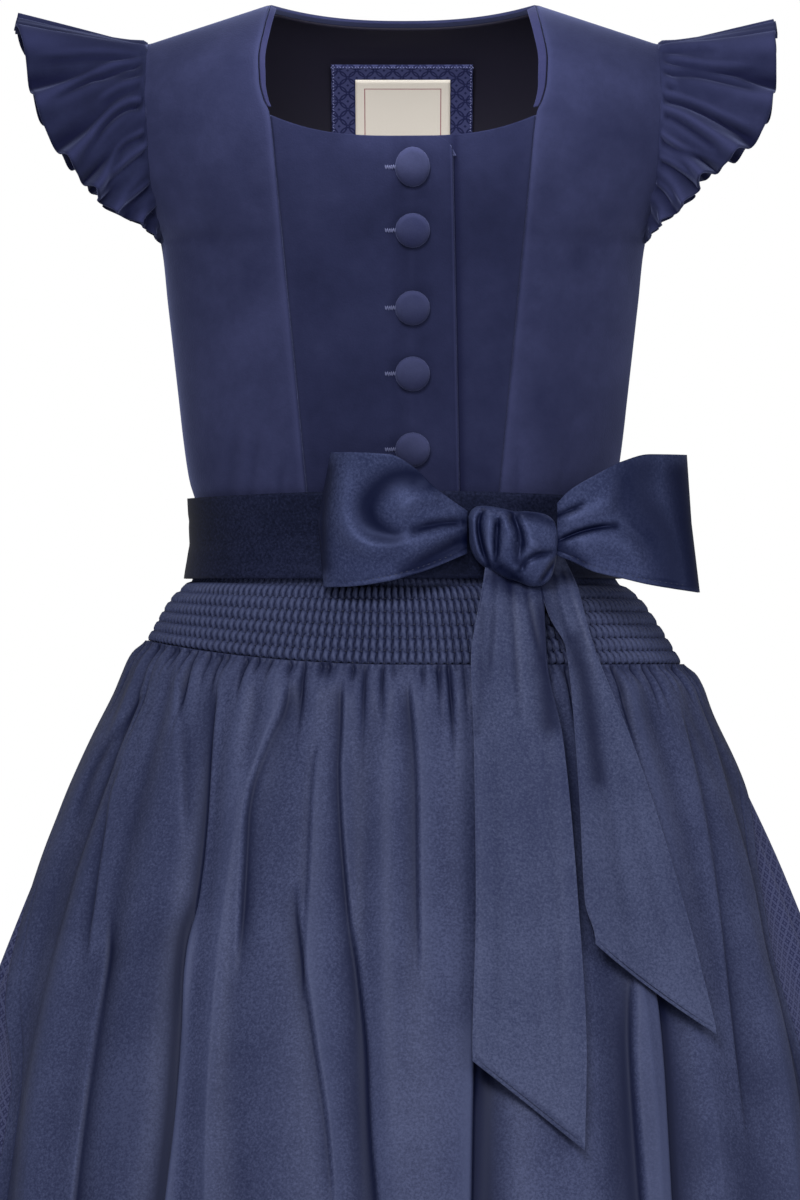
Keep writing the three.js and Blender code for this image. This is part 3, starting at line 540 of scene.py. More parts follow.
def plain_weave(name, dark, light, roughness, thread_mm):
    """Plain woven cloth: threads that cross in a fine even grid."""
    material, tree, shader = finish_named(name, Roughness=roughness, Specular_IOR_Level=0.25)
    uv = add(tree, "ShaderNodeUVMap", uv_map="cloth").outputs["UV"]
    # A wave texture of scale 1 has a wave every 0.314 m.
    scale = 0.314 / (thread_mm * MM)
    threads = []
    for turn in (0.0, math.pi / 2):
        turned = add(tree, "ShaderNodeMapping", {"Vector": uv, "Rotation": (0, 0, turn)}).outputs[0]
        threads.append(add(tree, "ShaderNodeTexWave",
                           {"Vector": turned, "Scale": scale}).outputs["Fac"])
    weave = math_node(tree, "MULTIPLY", threads[0], threads[1])
    tree.links.new(shades(tree, weave, (0.1, dark), (0.9, light)), shader.inputs["Base Color"])
    bumpy(tree, shader, weave, 0.3, 0.0002)
    return material, tree, shader


VELVET = velvet("cotton velvet", "#242848", "#2d3152", "#363a5e")
# Darker copies of the velvet for the sleeves, the right one most: painted shade. Crests: painted
# highlight.
SHADED_SLEEVE_VELVET = {
    RIGHT: velvet("cotton velvet of the right sleeve", "#141832", "#1a1e3b", "#232846",
                  crest="#2f3358"),
    LEFT: velvet("cotton velvet of the left sleeve", "#1d2140", "#262a4a", "#2f3355", crest="#383c62")}
# A darker copy of the velvet for the centre panels.
CENTRE_VELVET = velvet("darker cotton velvet of the centre panels", "#1b1f3c", "#222645", "#292d4d")
EDGE_VELVET = velvet("cotton velvet turned edge", "#25274a", "#2c2e51", "#343659")
BUTTON_VELVET = velvet("button velvet", "#2c3052", "#353959", "#3f4366")
APRON_SATIN = satin("apron satin", "#2c3250", "#393f5e", "#484f70", 0.5, 0.3)
TIE_SATIN = satin("tie satin", "#303656", "#3d4462", "#4c5373", 0.5, 0.35)
# The bow's fold and crest colours, #060b26 and #4a5275, are its painted shade and painted highlight.
BOW_SATIN = satin(
    "bow satin", "#252b49", "#313857", "#3f4668", 0.42, 0.45, "#060b26", "#4a5275", "#8c99d2")
SASH_SATIN = satin("sash satin", "#0f1222", "#171b30", "#23273f", 0.45, 0.25, tint="#8c99d2")
SKIRT_JACQUARD = jacquard("skirt jacquard", "#2c3054", "#4f5479", 7.0, 0.55)
PATCH_JACQUARD = jacquard("patch jacquard", "#383b60", "#14163a", 10.0, 0.7, 0.045)
LINING = plain_weave("viscose lining", "#141220", "#211e30", 0.6, 0.5)[0]
THREAD = finish_named("polyester thread", Base_Color=colour("#262b44"), Roughness=0.5)[0]
PATCH_THREAD = finish_named("patch thread", Base_Color=colour("#6d72a0"), Roughness=0.5)[0]
PALE_THREAD = finish_named("pale thread", Base_Color=colour("#6a6f96"), Roughness=0.5)[0]


def label_cloth():
    """Woven damask label: matt cream threads with one thin wine-red line round it."""
    material, tree, shader = plain_weave("label damask", "#d3cbc0", "#efe9e2", 0.8, 0.45)
    uv = add(tree, "ShaderNodeUVMap", uv_map="cloth").outputs["UV"]
    line = dict(above_middle=4, half_width=21, half_height=14.5, half_thread=0.25)
    moved = vector_node(tree, "ADD", uv, (0, -line["above_middle"] * MM, 0))
    sides = add(tree, "ShaderNodeSeparateXYZ", {0: vector_node(tree, "ABSOLUTE", moved)}).outputs
    # How far each place is outside the line's rectangle.
    beyond = math_node(tree, "MAXIMUM", math_node(tree, "SUBTRACT", sides[0], line["half_width"] * MM),
                       math_node(tree, "SUBTRACT", sides[1], line["half_height"] * MM))
    on_line = math_node(tree, "LESS_THAN", math_node(tree, "ABSOLUTE", beyond),
                        line["half_thread"] * MM)
    woven = shader.inputs["Base Color"].links[0].from_socket
    tree.links.new(mixed(tree, on_line, woven, colour("#8c4a55")), shader.inputs["Base Color"])
    return material


LABEL_CLOTH = label_cloth()


# Stitches
def stitch_tree():
    """Lays one rounded stitch on each point, along its own direction."""
    tree = bpy.data.node_groups.new("stitches", "GeometryNodeTree")
    face = tree.interface
    face.new_socket("Geometry", in_out="INPUT", socket_type="NodeSocketGeometry")
    face.new_socket("Size", in_out="INPUT", socket_type="NodeSocketVector")
    face.new_socket("Material", in_out="INPUT", socket_type="NodeSocketMaterial")
    face.new_socket("Geometry", in_out="OUTPUT", socket_type="NodeSocketGeometry")
    given = add(tree, "NodeGroupInput").outputs
    bead = add(tree, "GeometryNodeMeshUVSphere", {"Segments": 6, "Rings": 4, "Radius": 0.5})
    along = add(tree, "GeometryNodeInputNamedAttribute", {"Name": "along"}, data_type="FLOAT_VECTOR")
    outward = add(tree, "GeometryNodeInputNamedAttribute", {"Name": "outward"},
                  data_type="FLOAT_VECTOR")
    turn = add(tree, "FunctionNodeAxesToRotation", {0: outward.outputs[0], 1: along.outputs[0]},
               primary_axis="Z", secondary_axis="X")
    points = add(tree, "GeometryNodeMeshToPoints", {"Mesh": given["Geometry"]})
    laid = add(tree, "GeometryNodeInstanceOnPoints", {
        "Points": points.outputs[0], "Instance": bead.outputs[0], "Rotation": turn.outputs[0],
        "Scale": given["Size"]})
    real = add(tree, "GeometryNodeRealizeInstances", {"Geometry": laid.outputs[0]})
    dressed = add(tree, "GeometryNodeSetMaterial",
                  {"Geometry": real.outputs[0], "Material": given["Material"]})
    add(tree, "NodeGroupOutput", {"Geometry": dressed.outputs[0]})
    return tree


STITCHES = stitch_tree()


def stitches(name, places, along, outward, size, material):
    """Stitches of a size in mm at places in mm."""
    mesh = bpy.data.meshes.new(name)
    mesh.from_pydata((np.asarray(places) * MM).tolist(), [], [])
    for label, values in (("along", along), ("outward", outward)):
        attribute = mesh.attributes.new(label, "FLOAT_VECTOR", "POINT")
        attribute.data.foreach_set("vector", np.asarray(values, dtype=float).ravel())
    piece = put(name, mesh)
    sewn = piece.modifiers.new("sewn", "NODES")
    sewn.node_group = STITCHES
    for socket in STITCHES.interface.items_tree:
        if socket.in_out == "INPUT" and socket.name == "Size":
            sewn[socket.identifier] = [side * MM for side in size]
        if socket.in_out == "INPUT" and socket.name == "Material":
            sewn[socket.identifier] = material
    return settle(piece, material)


# Bodice
SEAM = dict(turns_in=0.7, over=1.6)
LAP_EDGE = dict(roll=0.6, roll_at=1.1, roll_width=0.8, turns_in=0.5, over=0.6)
UNDER_BUTTON = dict(sinks=0.5, within=14, lip=0.35, lip_width=5)
# Painted highlights and painted shadows along the panels' edges, as shades: negative is a
# painted highlight.
SEAM_PAINTED_HIGHLIGHT = dict(shade={RIGHT: -0.55, LEFT: -0.35}, at=1.3, width=0.7)
LAP_PAINTED_SHADOW = dict(shade=0.7, at=1, width=2.2)


def seam_groove(across_mm):
    """Cloth turned in at a seam: it rounds down over the last few millimetres."""
    return -SEAM["turns_in"] * np.exp(-np.abs(across_mm) / SEAM["over"])


FRONT_PUCKERS = (
    (-86, -286, -80, -236, 3.5, 0.8), (-70, -288, -66, -250, 2.6, 0.6), (-97, -284, -92, -225, 4, 0.6),
    (63, -287, 62, -244, 3, 0.7), (86, -288, 88, -240, 4, 0.7), (-30, -288, -34, -256, 4, 0.5),
    (-115, -110, -98, -140, 7, 0.8), (112, -112, 96, -145, 7, 0.8), (-92, -70, -78, -120, 9, 0.6),
    (90, -66, 80, -125, 9, 0.6))


def front_side(side):
    us = np.linspace(0, 1, 72) if side == LEFT else np.linspace(-1, 0, 72)
    across, up = grid(us, np.linspace(0, 1, 120))
    level = bodice_level(SHOULDER_LINE, up)
    inner = angle_across(seam_across(level), level)
    points = body_point(FRONT, side * mix(inner, armhole_angle(level), np.abs(across)), level)
    from_seam = np.abs(points[..., 0]) - seam_across(level)
    relief = seam_groove(from_seam) + creases(points[..., 0], points[..., 2], FRONT_PUCKERS)
    return raised(points, relief)


def seam_painted_highlight(side):
    """A painted highlight along the side panel's seam."""
    line = SEAM_PAINTED_HIGHLIGHT["shade"][side] * bell(np.arange(72) - SEAM_PAINTED_HIGHLIGHT["at"], SEAM_PAINTED_HIGHLIGHT["width"])
    return np.tile(line if side == LEFT else line[::-1], (120, 1))


def neck_level(x):
    drop = FRONT_NECK["corner"] - FRONT_NECK["middle"]
    return FRONT_NECK["middle"] + drop * (np.abs(x) / FRONT_NECK["half"]) ** 3


NECKLINE_ROWS = dict(start=6 / 7, below=6 / 13)


def centre_level(neck, up):
    """Levels of the centre panels: the top part of their rows follows the neckline."""
    start, below = NECKLINE_ROWS["start"], NECKLINE_ROWS["below"]
    low = bodice_level(SHOULDER_LINE, up / start * below)
    top = bodice_level(SHOULDER_LINE, below)
    return np.where(up <= start, low, mix(top, neck, (up - start) / (1 - start)))


def up_from_waist(level):
    return np.clip((level - LAP["slants_below"]) / (WAIST - LAP["slants_below"]), 0, 1)


def front_centre_right():
    across, up = grid(1 - (1 - np.linspace(0, 1, 90)) ** 1.3, np.linspace(0, 1, 120))
    seam_top = -(seam_across(FRONT_NECK["corner"]))
    top_x = mix(seam_top, LAP["edge_at_top"], across)
    into_corner = np.maximum(0, top_x - (LAP["edge_at_top"] - LAP["corner"]))
    corner = LAP["corner"] - np.sqrt(np.maximum(LAP["corner"] ** 2 - into_corner ** 2, 0))
    level = centre_level(neck_level(top_x) - corner, up)
    edge = mix(LAP["edge_at_top"], LAP["edge_at_waist"], up_from_waist(level))
    seam = -(seam_across(level))
    x = mix(seam, edge, across)
    rise = LAP_RISE["height"] * smooth(x, LAP_RISE["start"], LAP_RISE["end"])
    points = body_point(FRONT, angle_across(x, level), level, rise)
    relief = seam_groove(x - seam) + creases(points[..., 0], points[..., 2], FRONT_PUCKERS)
    relief = relief + LAP_EDGE["roll"] * bell(edge - x - LAP_EDGE["roll_at"], LAP_EDGE["roll_width"])
    relief = relief - LAP_EDGE["turns_in"] * bell(edge - x, LAP_EDGE["over"])
    dimple = UNDER_BUTTON
    for button_level in BUTTON_LEVELS:
        away = np.hypot(x - BUTTON["across"], level - button_level)
        relief = relief - dimple["sinks"] * bell(away, dimple["within"])
        relief = relief + dimple["lip"] * bell(away - dimple["within"], dimple["lip_width"])
    return raised(points, relief)


def front_centre_left():
    across, up = grid(np.linspace(0, 1, 56), np.linspace(0, 1, 120))
    seam_top = seam_across(FRONT_NECK["corner"])
    level = centre_level(neck_level(mix(LAP["under_edge"], seam_top, across)), up)
    seam = seam_across(level)
    x = mix(LAP["under_edge"], seam, across)
    points = body_point(FRONT, angle_across(x, level), level)
    relief = seam_groove(seam - x) + creases(points[..., 0], points[..., 2], FRONT_PUCKERS)
    beyond_lap = x - mix(LAP["edge_at_top"], LAP["edge_at_waist"], up_from_waist(level))
    # A painted shadow on the under layer beside the lap's edge.
    shade = LAP_PAINTED_SHADOW["shade"] * bell(beyond_lap - LAP_PAINTED_SHADOW["at"], LAP_PAINTED_SHADOW["width"])
    return raised(points, relief), shade


def back_surface(across, up):
    shoulder_x = body_point(BACK, np.abs(across) * armhole_angle(SHOULDER_LINE), SHOULDER_LINE)[..., 0]
    from_middle = np.minimum(1, shoulder_x / BACK_NECK["half"])
    top = np.minimum(SHOULDER_LINE, BACK_NECK["middle"] * (1 - from_middle ** BACK_NECK["power"]))
    level = bodice_level(top, up)
    return body_point(BACK, across * armhole_angle(level), level)


BACK_PUCKERS = (
    (-60, -288, -55, -235, 4, 0.9), (-30, -288, -28, -248, 3, 0.6), (25, -288, 27, -240, 4, 0.8),
    (62, -287, 57, -232, 4, 0.9), (-110, -120, -80, -150, 8, 0.9), (112, -118, 84, -150, 8, 0.9),
    (-90, -60, -40, -78, 9, 0.6), (90, -62, 38, -80, 9, 0.6))


def bodice_back():
    across, up = grid(np.linspace(1, -1, 110), np.linspace(0, 1, 90))
    points = back_surface(across, up)
    return raised(points, creases(points[..., 0], points[..., 2], BACK_PUCKERS))


def back_lining():
    across, up = grid(np.linspace(0.875, -0.875, 40), np.linspace(1 / 12, 11 / 12, 40))
    return raised(back_surface(across, up), -(WALL["velvet"] + CLEAR["lining"]))


def inside_back(piece, depth, cols, rows):
    x, level = grid(np.linspace(piece["left"], piece["right"], cols),
                    np.linspace(piece["bottom"], piece["top"], rows))
    return raised(body_point(BACK, angle_across(x, level), level), -depth)


EDGE_STITCH = dict(inset=1.9, clear=1.1, across=48, down=37, lean=0.9, size=(1.5, 0.5, 0.4))


def patch_stitches():
    """Close zigzag stitches round the patch's edge."""
    depth = PATCH_DEPTH + EDGE_STITCH["clear"]
    spots = []
    for edge, opposite, inward in (("top", "bottom", -1), ("bottom", "top", 1)):
        strip = dict(PATCH, **{opposite: PATCH[edge] + inward * EDGE_STITCH["inset"]})
        spots.append(inside_back(strip, depth, EDGE_STITCH["across"], 3)[1])
    for edge, opposite, inward in (("left", "right", -1), ("right", "left", 1)):
        strip = dict(PATCH, **{opposite: PATCH[edge] + inward * EDGE_STITCH["inset"]})
        spots.append(inside_back(strip, depth, 3, EDGE_STITCH["down"])[:, 1])
    spots = np.concatenate(spots)
    turned = np.arange(len(spots)) % 2 * 2 - 1
    stitches("patch_edge_thread", spots, place(1, 0, EDGE_STITCH["lean"] * turned),
             place(0 * turned, -1, 0), EDGE_STITCH["size"], PATCH_THREAD)


def neck_facing(side):
    us = np.linspace(-1, 0, 8) if side == LEFT else np.linspace(0, 1, 8)
    across, up = grid(us, np.linspace(0, 1, 70))
    level = mix(FACING["bottom"], FACING["top"], 1 - (1 - up) ** 2)
    edge = body_point(FRONT, side * angle_across(seam_across(level), level), level)
    outward = place(0, -body_depth(level), level + SHOULDER["height"])
    outward /= np.linalg.norm(outward, axis=-1, keepdims=True)
    width = FACING["wide"][side] * smooth(up, *FACING["taper"]) * np.abs(across)
    edge[..., 0] -= side * (FACING["clear"] + FACING["inward"] * width)
    return edge + outward * (-FACING["under"] * width - CLEAR["neck_edge"])[..., None]


# A button's section as shares of its radius and height, and its painted shade on the lower half and
# painted highlight near the upper rim.
BUTTON_SECTION = np.array([
    (0, 0), (0.5, 0), (0.86, 0), (0.93, 0.05), (0.985, 0.16), (1, 0.28), (0.985, 0.42), (0.93, 0.58),
    (0.84, 0.71), (0.7, 0.83), (0.5, 0.93), (0.25, 0.985), (0, 1)])
BUTTON_PLEATS = dict(count=16, share=0.006, at=0.3, width=0.3)
BUTTON_SHADE = dict(below=0.5, rim=-0.8, rim_at=0.9, rim_width=0.09)


def button_mesh(name, level, tall=1.0):
    """A covered button: the velvet is drawn over a dome and gathered in fine pleats under its rim."""
    far, high = BUTTON_SECTION[:, :1], BUTTON_SECTION[:, 1:]
    turns = np.linspace(0, 2 * math.pi, 48, endpoint=False)
    rim = bell(high - BUTTON_PLEATS["at"], BUTTON_PLEATS["width"]) * (far > 0.4)
    pleats = 1 + BUTTON_PLEATS["share"] * rim * np.cos(BUTTON_PLEATS["count"] * turns)[None]
    radius = far * BUTTON["radius"] * pleats
    flat = place(radius * np.cos(turns), radius * tall * np.sin(turns), high * BUTTON["height"])

    def at(dx, dl):
        angle = angle_across(BUTTON["across"] + dx, level + dl)
        return body_point(FRONT, angle, level + dl, LAP_RISE["height"])

    right, up = at(1, 0) - at(-1, 0), at(0, 1) - at(0, -1)
    out = np.cross(right, up)
    axes = [axis / np.linalg.norm(axis) for axis in (right, up, out)]
    spot = at(0, 0) + axes[2] * CLEAR["button"]
    points = spot + sum(flat[..., i:i + 1] * axes[i] for i in range(3))
    height = np.sin(turns)[None] * far
    # Painted shade on the lower half and a painted highlight near the upper rim.
    lit = BUTTON_SHADE["rim"] * bell(far - BUTTON_SHADE["rim_at"], BUTTON_SHADE["rim_width"])
    shade = BUTTON_SHADE["below"] * smooth(-height, -0.3, 0.9) + lit * smooth(height, -0.5, 0.8)
    return surface_mesh(name, points, ring=True, folded=(0, 0, 1.0), shade=shade)


# The stitches of a buttonhole's end: how far each is above the slit and how much it leans.
HOLE_STITCHES = np.array([
    (0.0, 0.12), (0.3, -0.12), (-0.2, 0.24), (0.2, 0), (0.0, -0.24), (-0.3, 0.12), (0.2, -0.12),
    (-0.1, 0.24), (0.1, -0.12)])
HOLE = dict(starts=-4.4, pitch=0.65, clear=0.2, size=(2.6, 0.6, 0.7))


def buttonhole(level, index):
    """The end of a worked buttonhole that shows beside its button: close stitches across the slit."""
    above, lean = HOLE_STITCHES.T
    x = HOLE["starts"] - np.arange(len(above)) * HOLE["pitch"]
    up = level + above
    rise = LAP_RISE["height"] * smooth(x, LAP_RISE["start"], LAP_RISE["end"]) + HOLE["clear"]
    spots = body_point(FRONT, angle_across(x, up), up, rise)
    return stitches(f"buttonhole_{index}_thread", spots, place(lean, 0, 1), place(0 * x, -1, 0),
                    HOLE["size"], PALE_THREAD)


# Sleeves
def armhole_point(side, turn):
    middle = (ARMHOLE["top"] + ARMHOLE["bottom"]) / 2
    height = middle + (ARMHOLE["top"] - middle) * cosine(turn)
    slope = 1 - SHOULDER["drop"] / SHOULDER["drop_fades"]
    level = np.where(height < -SHOULDER["drop_fades"], height, (height + SHOULDER["drop"]) / slope)
    level = np.minimum(level, SHOULDER_LINE)
    front = body_point(FRONT, side * armhole_angle(level), level)
    back = body_point(BACK, side * armhole_angle(level), level)
    return np.where((turn < 0)[..., None], back, front)


# Crest lines of the sleeves' folds, from the armhole outwards: how far each stands up, then its places.
RIGHT_SLEEVE_FOLDS = (
    (1.6, (-144, -28), (-168, -26), (-189, -28), (-207, -29)),
    (3.6, (-145, -31), (-157, -33), (-175, -40), (-201, -54)),
    (1.6, (-145, -36), (-161, -37), (-172, -41)),
    (2.0, (-145, -42), (-157, -46), (-169, -54)),
    (3.8, (-145, -53), (-153, -54), (-164, -62), (-177, -80), (-184, -86)),
    (3.0, (-142, -70), (-155, -76), (-161, -87), (-169, -101)),
    (2.4, (-141, -78), (-152, -86), (-169, -102)),
    (2.6, (-139, -98), (-156, -111), (-160, -114)),
    (2.2, (-137, -111), (-147, -119)))
LEFT_SLEEVE_FOLDS = (
    (1.2, (140, -24), (160, -22), (178, -23)),
    (2.4, (140, -28), (164, -33), (180, -34), (196, -33)),
    (3.2, (140, -34), (161, -36), (181, -41), (206, -51)),
    (1.8, (140, -39), (152, -45)),
    (3.6, (140, -48), (161, -54), (178, -62), (198, -70)),
    (3.4, (139, -56), (152, -61), (166, -70), (179, -80)),
    (3.2, (137, -67), (147, -76), (166, -84), (178, -91)),
    (2.8, (137, -83), (147, -87), (166, -100)),
    (2.0, (136, -97), (145, -102), (150, -111)))
# The folds' section: a lip on the crest and the drop below it, in mm, how far they reach past their
# line's ends, and what share of the ruffles' swing is left between them.
FOLD_DROP = dict(lip=0.55, crest=1.6, below=3.6, valley=2.4, ends=2, keep=0.45)
# The gathers along the armhole seam: two waves of different pitch.
SEAM_GATHERS = dict(depth=1.0, fade=0.22, first=61, second=43, share=0.7, shift=50)


def folds_before(turn):
    return np.interp(turn, RUFFLE_CRESTS, np.arange(len(RUFFLE_CRESTS)))


def sleeve(side):
    turn, out = grid(np.linspace(-RUFFLE["end"], RUFFLE["end"], 344), np.linspace(0, 1, 30))
    name = "right" if side == RIGHT else "left"
    away = np.abs(turn)
    length = lookup(SLEEVE, name, away, "round")
    fall = lookup(SLEEVE, name + "_fall", away, "round")
    lean = lookup(SLEEVE, "lean", away, "round")
    facing = np.where(turn < 0, BACK, FRONT)
    points = armhole_point(side, turn)
    points[..., 0] += side * (length * out * cosine(fall) * cosine(lean) - RUFFLE["under"] * (1 - out))
    points[..., 1] += facing * length * out * sine(lean)
    points[..., 2] -= length * out * sine(fall)
    phase = 360 * folds_before(turn)
    wave = cosine(phase) - RUFFLE["drop"] * sine(2 * phase) * np.sign(turn)
    swing = lookup(SLEEVE, "swing", away, "round") * out
    front = smooth(turn, -8, 12)
    relief = swing * wave * mix(1, FOLD_DROP["keep"], front * smooth(1 - out, 0, 0.5))
    for height, *line in RIGHT_SLEEVE_FOLDS if side == RIGHT else LEFT_SLEEVE_FOLDS:
        gap, below, along = beside_line(points[..., 0], points[..., 2], line)
        below = below * gap * side
        fade = smooth(1 - along, 0, 0.25) * smooth(out, 0, 0.12)
        step = FOLD_DROP["lip"] * bell(below, FOLD_DROP["crest"])
        step = step - bell(below - FOLD_DROP["below"], FOLD_DROP["valley"])
        beyond = bell(np.maximum(0, gap - np.abs(below)), FOLD_DROP["ends"])
        relief = relief + front * height * fade * step * beyond
    seam = SEAM_GATHERS
    gathers = cosine(seam["first"] * turn / 3)
    gathers = gathers + seam["share"] * cosine(seam["second"] * turn / 3 + seam["shift"])
    relief = relief + seam["depth"] * smooth(out, 0, 0.04) * np.exp(-out / seam["fade"]) * gathers
    return raised(points, side * relief)


# Skirt
# Smaller waves in the skirt's folds: their height in mm, how many go to a fold, and where they fade.
RIPPLES = dict(wander=1.6, wander_rate=7, fine=1.4, fine_rate=5.1, fine_fades=70, soft=1.2,
               soft_rate=3.1, soft_full=-420, below_top=8)


def skirt_fold(facing, angle, level):
    folds, small = SKIRT_FOLDS, RIPPLES
    opening = folds["swing"] * smooth(-level, -SKIRT_TOP, -folds["full_at"])
    free = 1 if facing == BACK else smooth(np.abs(angle), folds["smooth_within"], folds["open_beyond"])
    turned = angle + small["wander"] * sine(small["wander_rate"] * angle + 40 * facing)
    wave = 0.5 - 0.5 * cosine(2 * folds["count"] * (turned + 90))
    fine = small["fine"] * np.exp((level - SKIRT_TOP) / small["fine_fades"])
    fine = fine * cosine(small["fine_rate"] * folds["count"] * (turned + 90) + 30)
    soft = small["soft"] * smooth(-level, -SKIRT_TOP, -small["soft_full"])
    soft = soft * cosine(small["soft_rate"] * folds["count"] * (turned + 90) + 70)
    below_top = smooth(-level, -SKIRT_TOP, small["below_top"] - SKIRT_TOP)
    return -free * (opening * wave + (fine + soft) * below_top)


def skirt_half(facing):
    ends = (-90, 90) if facing == FRONT else (90, -90)
    angle, level = grid(np.linspace(*ends, 300), np.linspace(-745, WAIST, 52))
    return skirt_point(facing, angle, level, skirt_fold(facing, angle, level))


# Apron
def fold_angle(fold, level):
    top, half, hem = (APRON_FOLD_LEVELS[name] for name in ("top", "half", "hem"))
    rows = dict(level=np.array([hem, half, top], dtype=float), angle=np.array(fold[2::-1], dtype=float))
    return lookup(rows, "angle", level)


# Gathers that fall from the last stitched row, with sharp pits between rounded puffs: angle, width,
# depth and how far down each pit reaches.
GATHERS = [
    (angle + chance.uniform(-1.2, 1.2), chance.uniform(0.9, 1.8), chance.uniform(4.5, 8),
     7 + 36 * chance.uniform(0, 1) ** 3)
    for angle in np.linspace(-86, 86, 50)]
SOFT_FOLDS = [
    (angle + chance.uniform(-2, 2), chance.uniform(2.2, 4), chance.uniform(1.2, 2.8),
     chance.uniform(110, 340))
    for angle in np.linspace(-80, 80, 21)]
# How the gathers narrow downwards and how dark the painted shade in their pits is.
PITS = dict(narrow=0.4, narrows=12, dark=0.08)
# Small dents where the satin buckles between folds: angle, level, breadth, height, depth.
DENTS = (
    (-66, -470, 5, 16, 2.0), (-48, -536, 4, 22, 2.2), (-70, -415, 4, 14, 1.5), (-30, -405, 3, 20, 1.8),
    (38, -440, 3, 26, 1.6), (20, -400, 3, 18, 1.4), (58, -520, 4, 30, 1.8), (-36, -620, 3, 30, 1.6),
    (48, -590, 3, 34, 1.6))
# Overlapping folds: how deep each is, 1 or -1 for a drop on its right or left, how far the hollow
# spreads, how dark its painted shade is, and its places downwards.
LAID_FOLDS = (
    (3.4, 1, 9, 0.4, (-98, -372), (-100.7, -391), (-103, -410), (-107, -482), (-116, -526),
     (-118, -570)),
    (9, 1, 26, 0.6, (-108, -490), (-116, -526), (-118, -570), (-121, -614), (-126, -655), (-134, -740)),
    (2.5, -1, 20, 0.35, (-157, -500), (-162, -560), (-170, -620), (-176, -680), (-184, -740)),
    (3.4, -1, 7, 0.5, (-59.4, -366), (-64.3, -391), (-70.4, -402), (-82.8, -436), (-84.2, -471),
     (-88, -540)),
    (3.2, 1, 8, 0.4, (-29.2, -366), (-31.3, -377), (-32, -397), (-33.3, -423), (-31.3, -464),
     (-25, -530)),
    (2.8, 1, 10, 0.35, (-27, -500), (-22, -540), (-18, -570), (-17, -614), (-13, -650), (-10, -710)),
    (2.8, 1, 9, 0.4, (-56, -480), (-51, -526), (-45, -570), (-38, -614), (-34, -680)),
    (2.6, 1, 7, 0.35, (2.5, -366), (5.2, -388), (8, -423), (8, -468), (9, -540)),
    (1.6, 1, 6, 0.3, (-43, -399), (-47.3, -425), (-48.4, -468), (-52, -560)),
    (2.2, -1, 6, 0.3, (-120, -370), (-121.3, -388), (-117, -430), (-115.8, -468)),
    (2.4, 1, 8, 0.35, (-147.4, -423), (-155.7, -438), (-159, -468), (-170, -540)),
    (2.4, -1, 8, 0.4, (-140.8, -383), (-147.4, -394), (-168, -423), (-183, -468)),
    (8, -1, 22, 0.7, (38, -545), (37, -590), (36.5, -614), (36, -655), (34, -740)),
    (4, 1, 13, 0.5, (121, -520), (120, -560), (122, -600), (126, -655), (131, -735)),
    (6, -1, 17, 0.55, (131, -525), (136, -570), (138, -614), (140, -655), (144, -735)),
    (2.6, -1, 10, 0.4, (157, -374), (174, -439), (182, -465), (202, -563), (217, -647)),
    (2.0, -1, 8, 0.35, (143, -372), (150, -400), (160, -450), (170, -520), (182, -640)))
LAID = dict(drop=1.0, spreads=10, share=0.6, dark_edge=1.2)
HEM = dict(side=10, bottom=18, groove=0.5, width=0.9)


def laid_folds(x, z):
    """Folds that lie over their neighbour, where the cloth swells slowly, then drops all at once, and
    the painted shade in their hollows."""
    relief, shade = 0, 0
    for depth, way, hollow, dark, *line in LAID_FOLDS:
        gap, side, along = beside_line(x, z, line)
        away = gap * side * way
        fade = smooth(along, 0, 0.12) * smooth(1 - along, 0, 0.25)
        spread = np.where(away < 0, LAID["spreads"], hollow)
        drop = np.tanh(away / LAID["drop"]) * np.exp(-np.abs(away) / spread)
        relief = relief - LAID["share"] * depth * fade * drop
        near = np.exp(np.where(away < 0, LAID["dark_edge"] * away, -away / hollow))
        shade = shade + dark * fade * near
    return relief, np.minimum(shade, 1)


def pleat_angle(column):
    """The angle at which a pleat of the smocking lies; they are evenly pitched along the curve."""
    even = mix(-SMOCKING["half_angle"], SMOCKING["half_angle"], column / SMOCKING["pleats"])
    return even - EVEN_PITCH * sine(2 * even)


def pleat_column(angle):
    """Which pleat of the smocking an angle falls in."""
    even = angle
    for _ in range(6):
        even = angle + EVEN_PITCH * sine(2 * even)
    return SMOCKING["pleats"] * (even + SMOCKING["half_angle"]) / (2 * SMOCKING["half_angle"])


# The apron just below the smocking: how it rests on the skirt and swells, how the pleats run on into
# it, how far it stands off the stitches and over what height it leaves them.
APRON_HEAD = dict(rests=1.4, swells=3.0, swell_at=8, swell_width=14, pleats=1.3, pleat_power=0.6,
                  pleats_fade=7, off_stitches=0.5, join=(-2.5, 5), least=1.4)


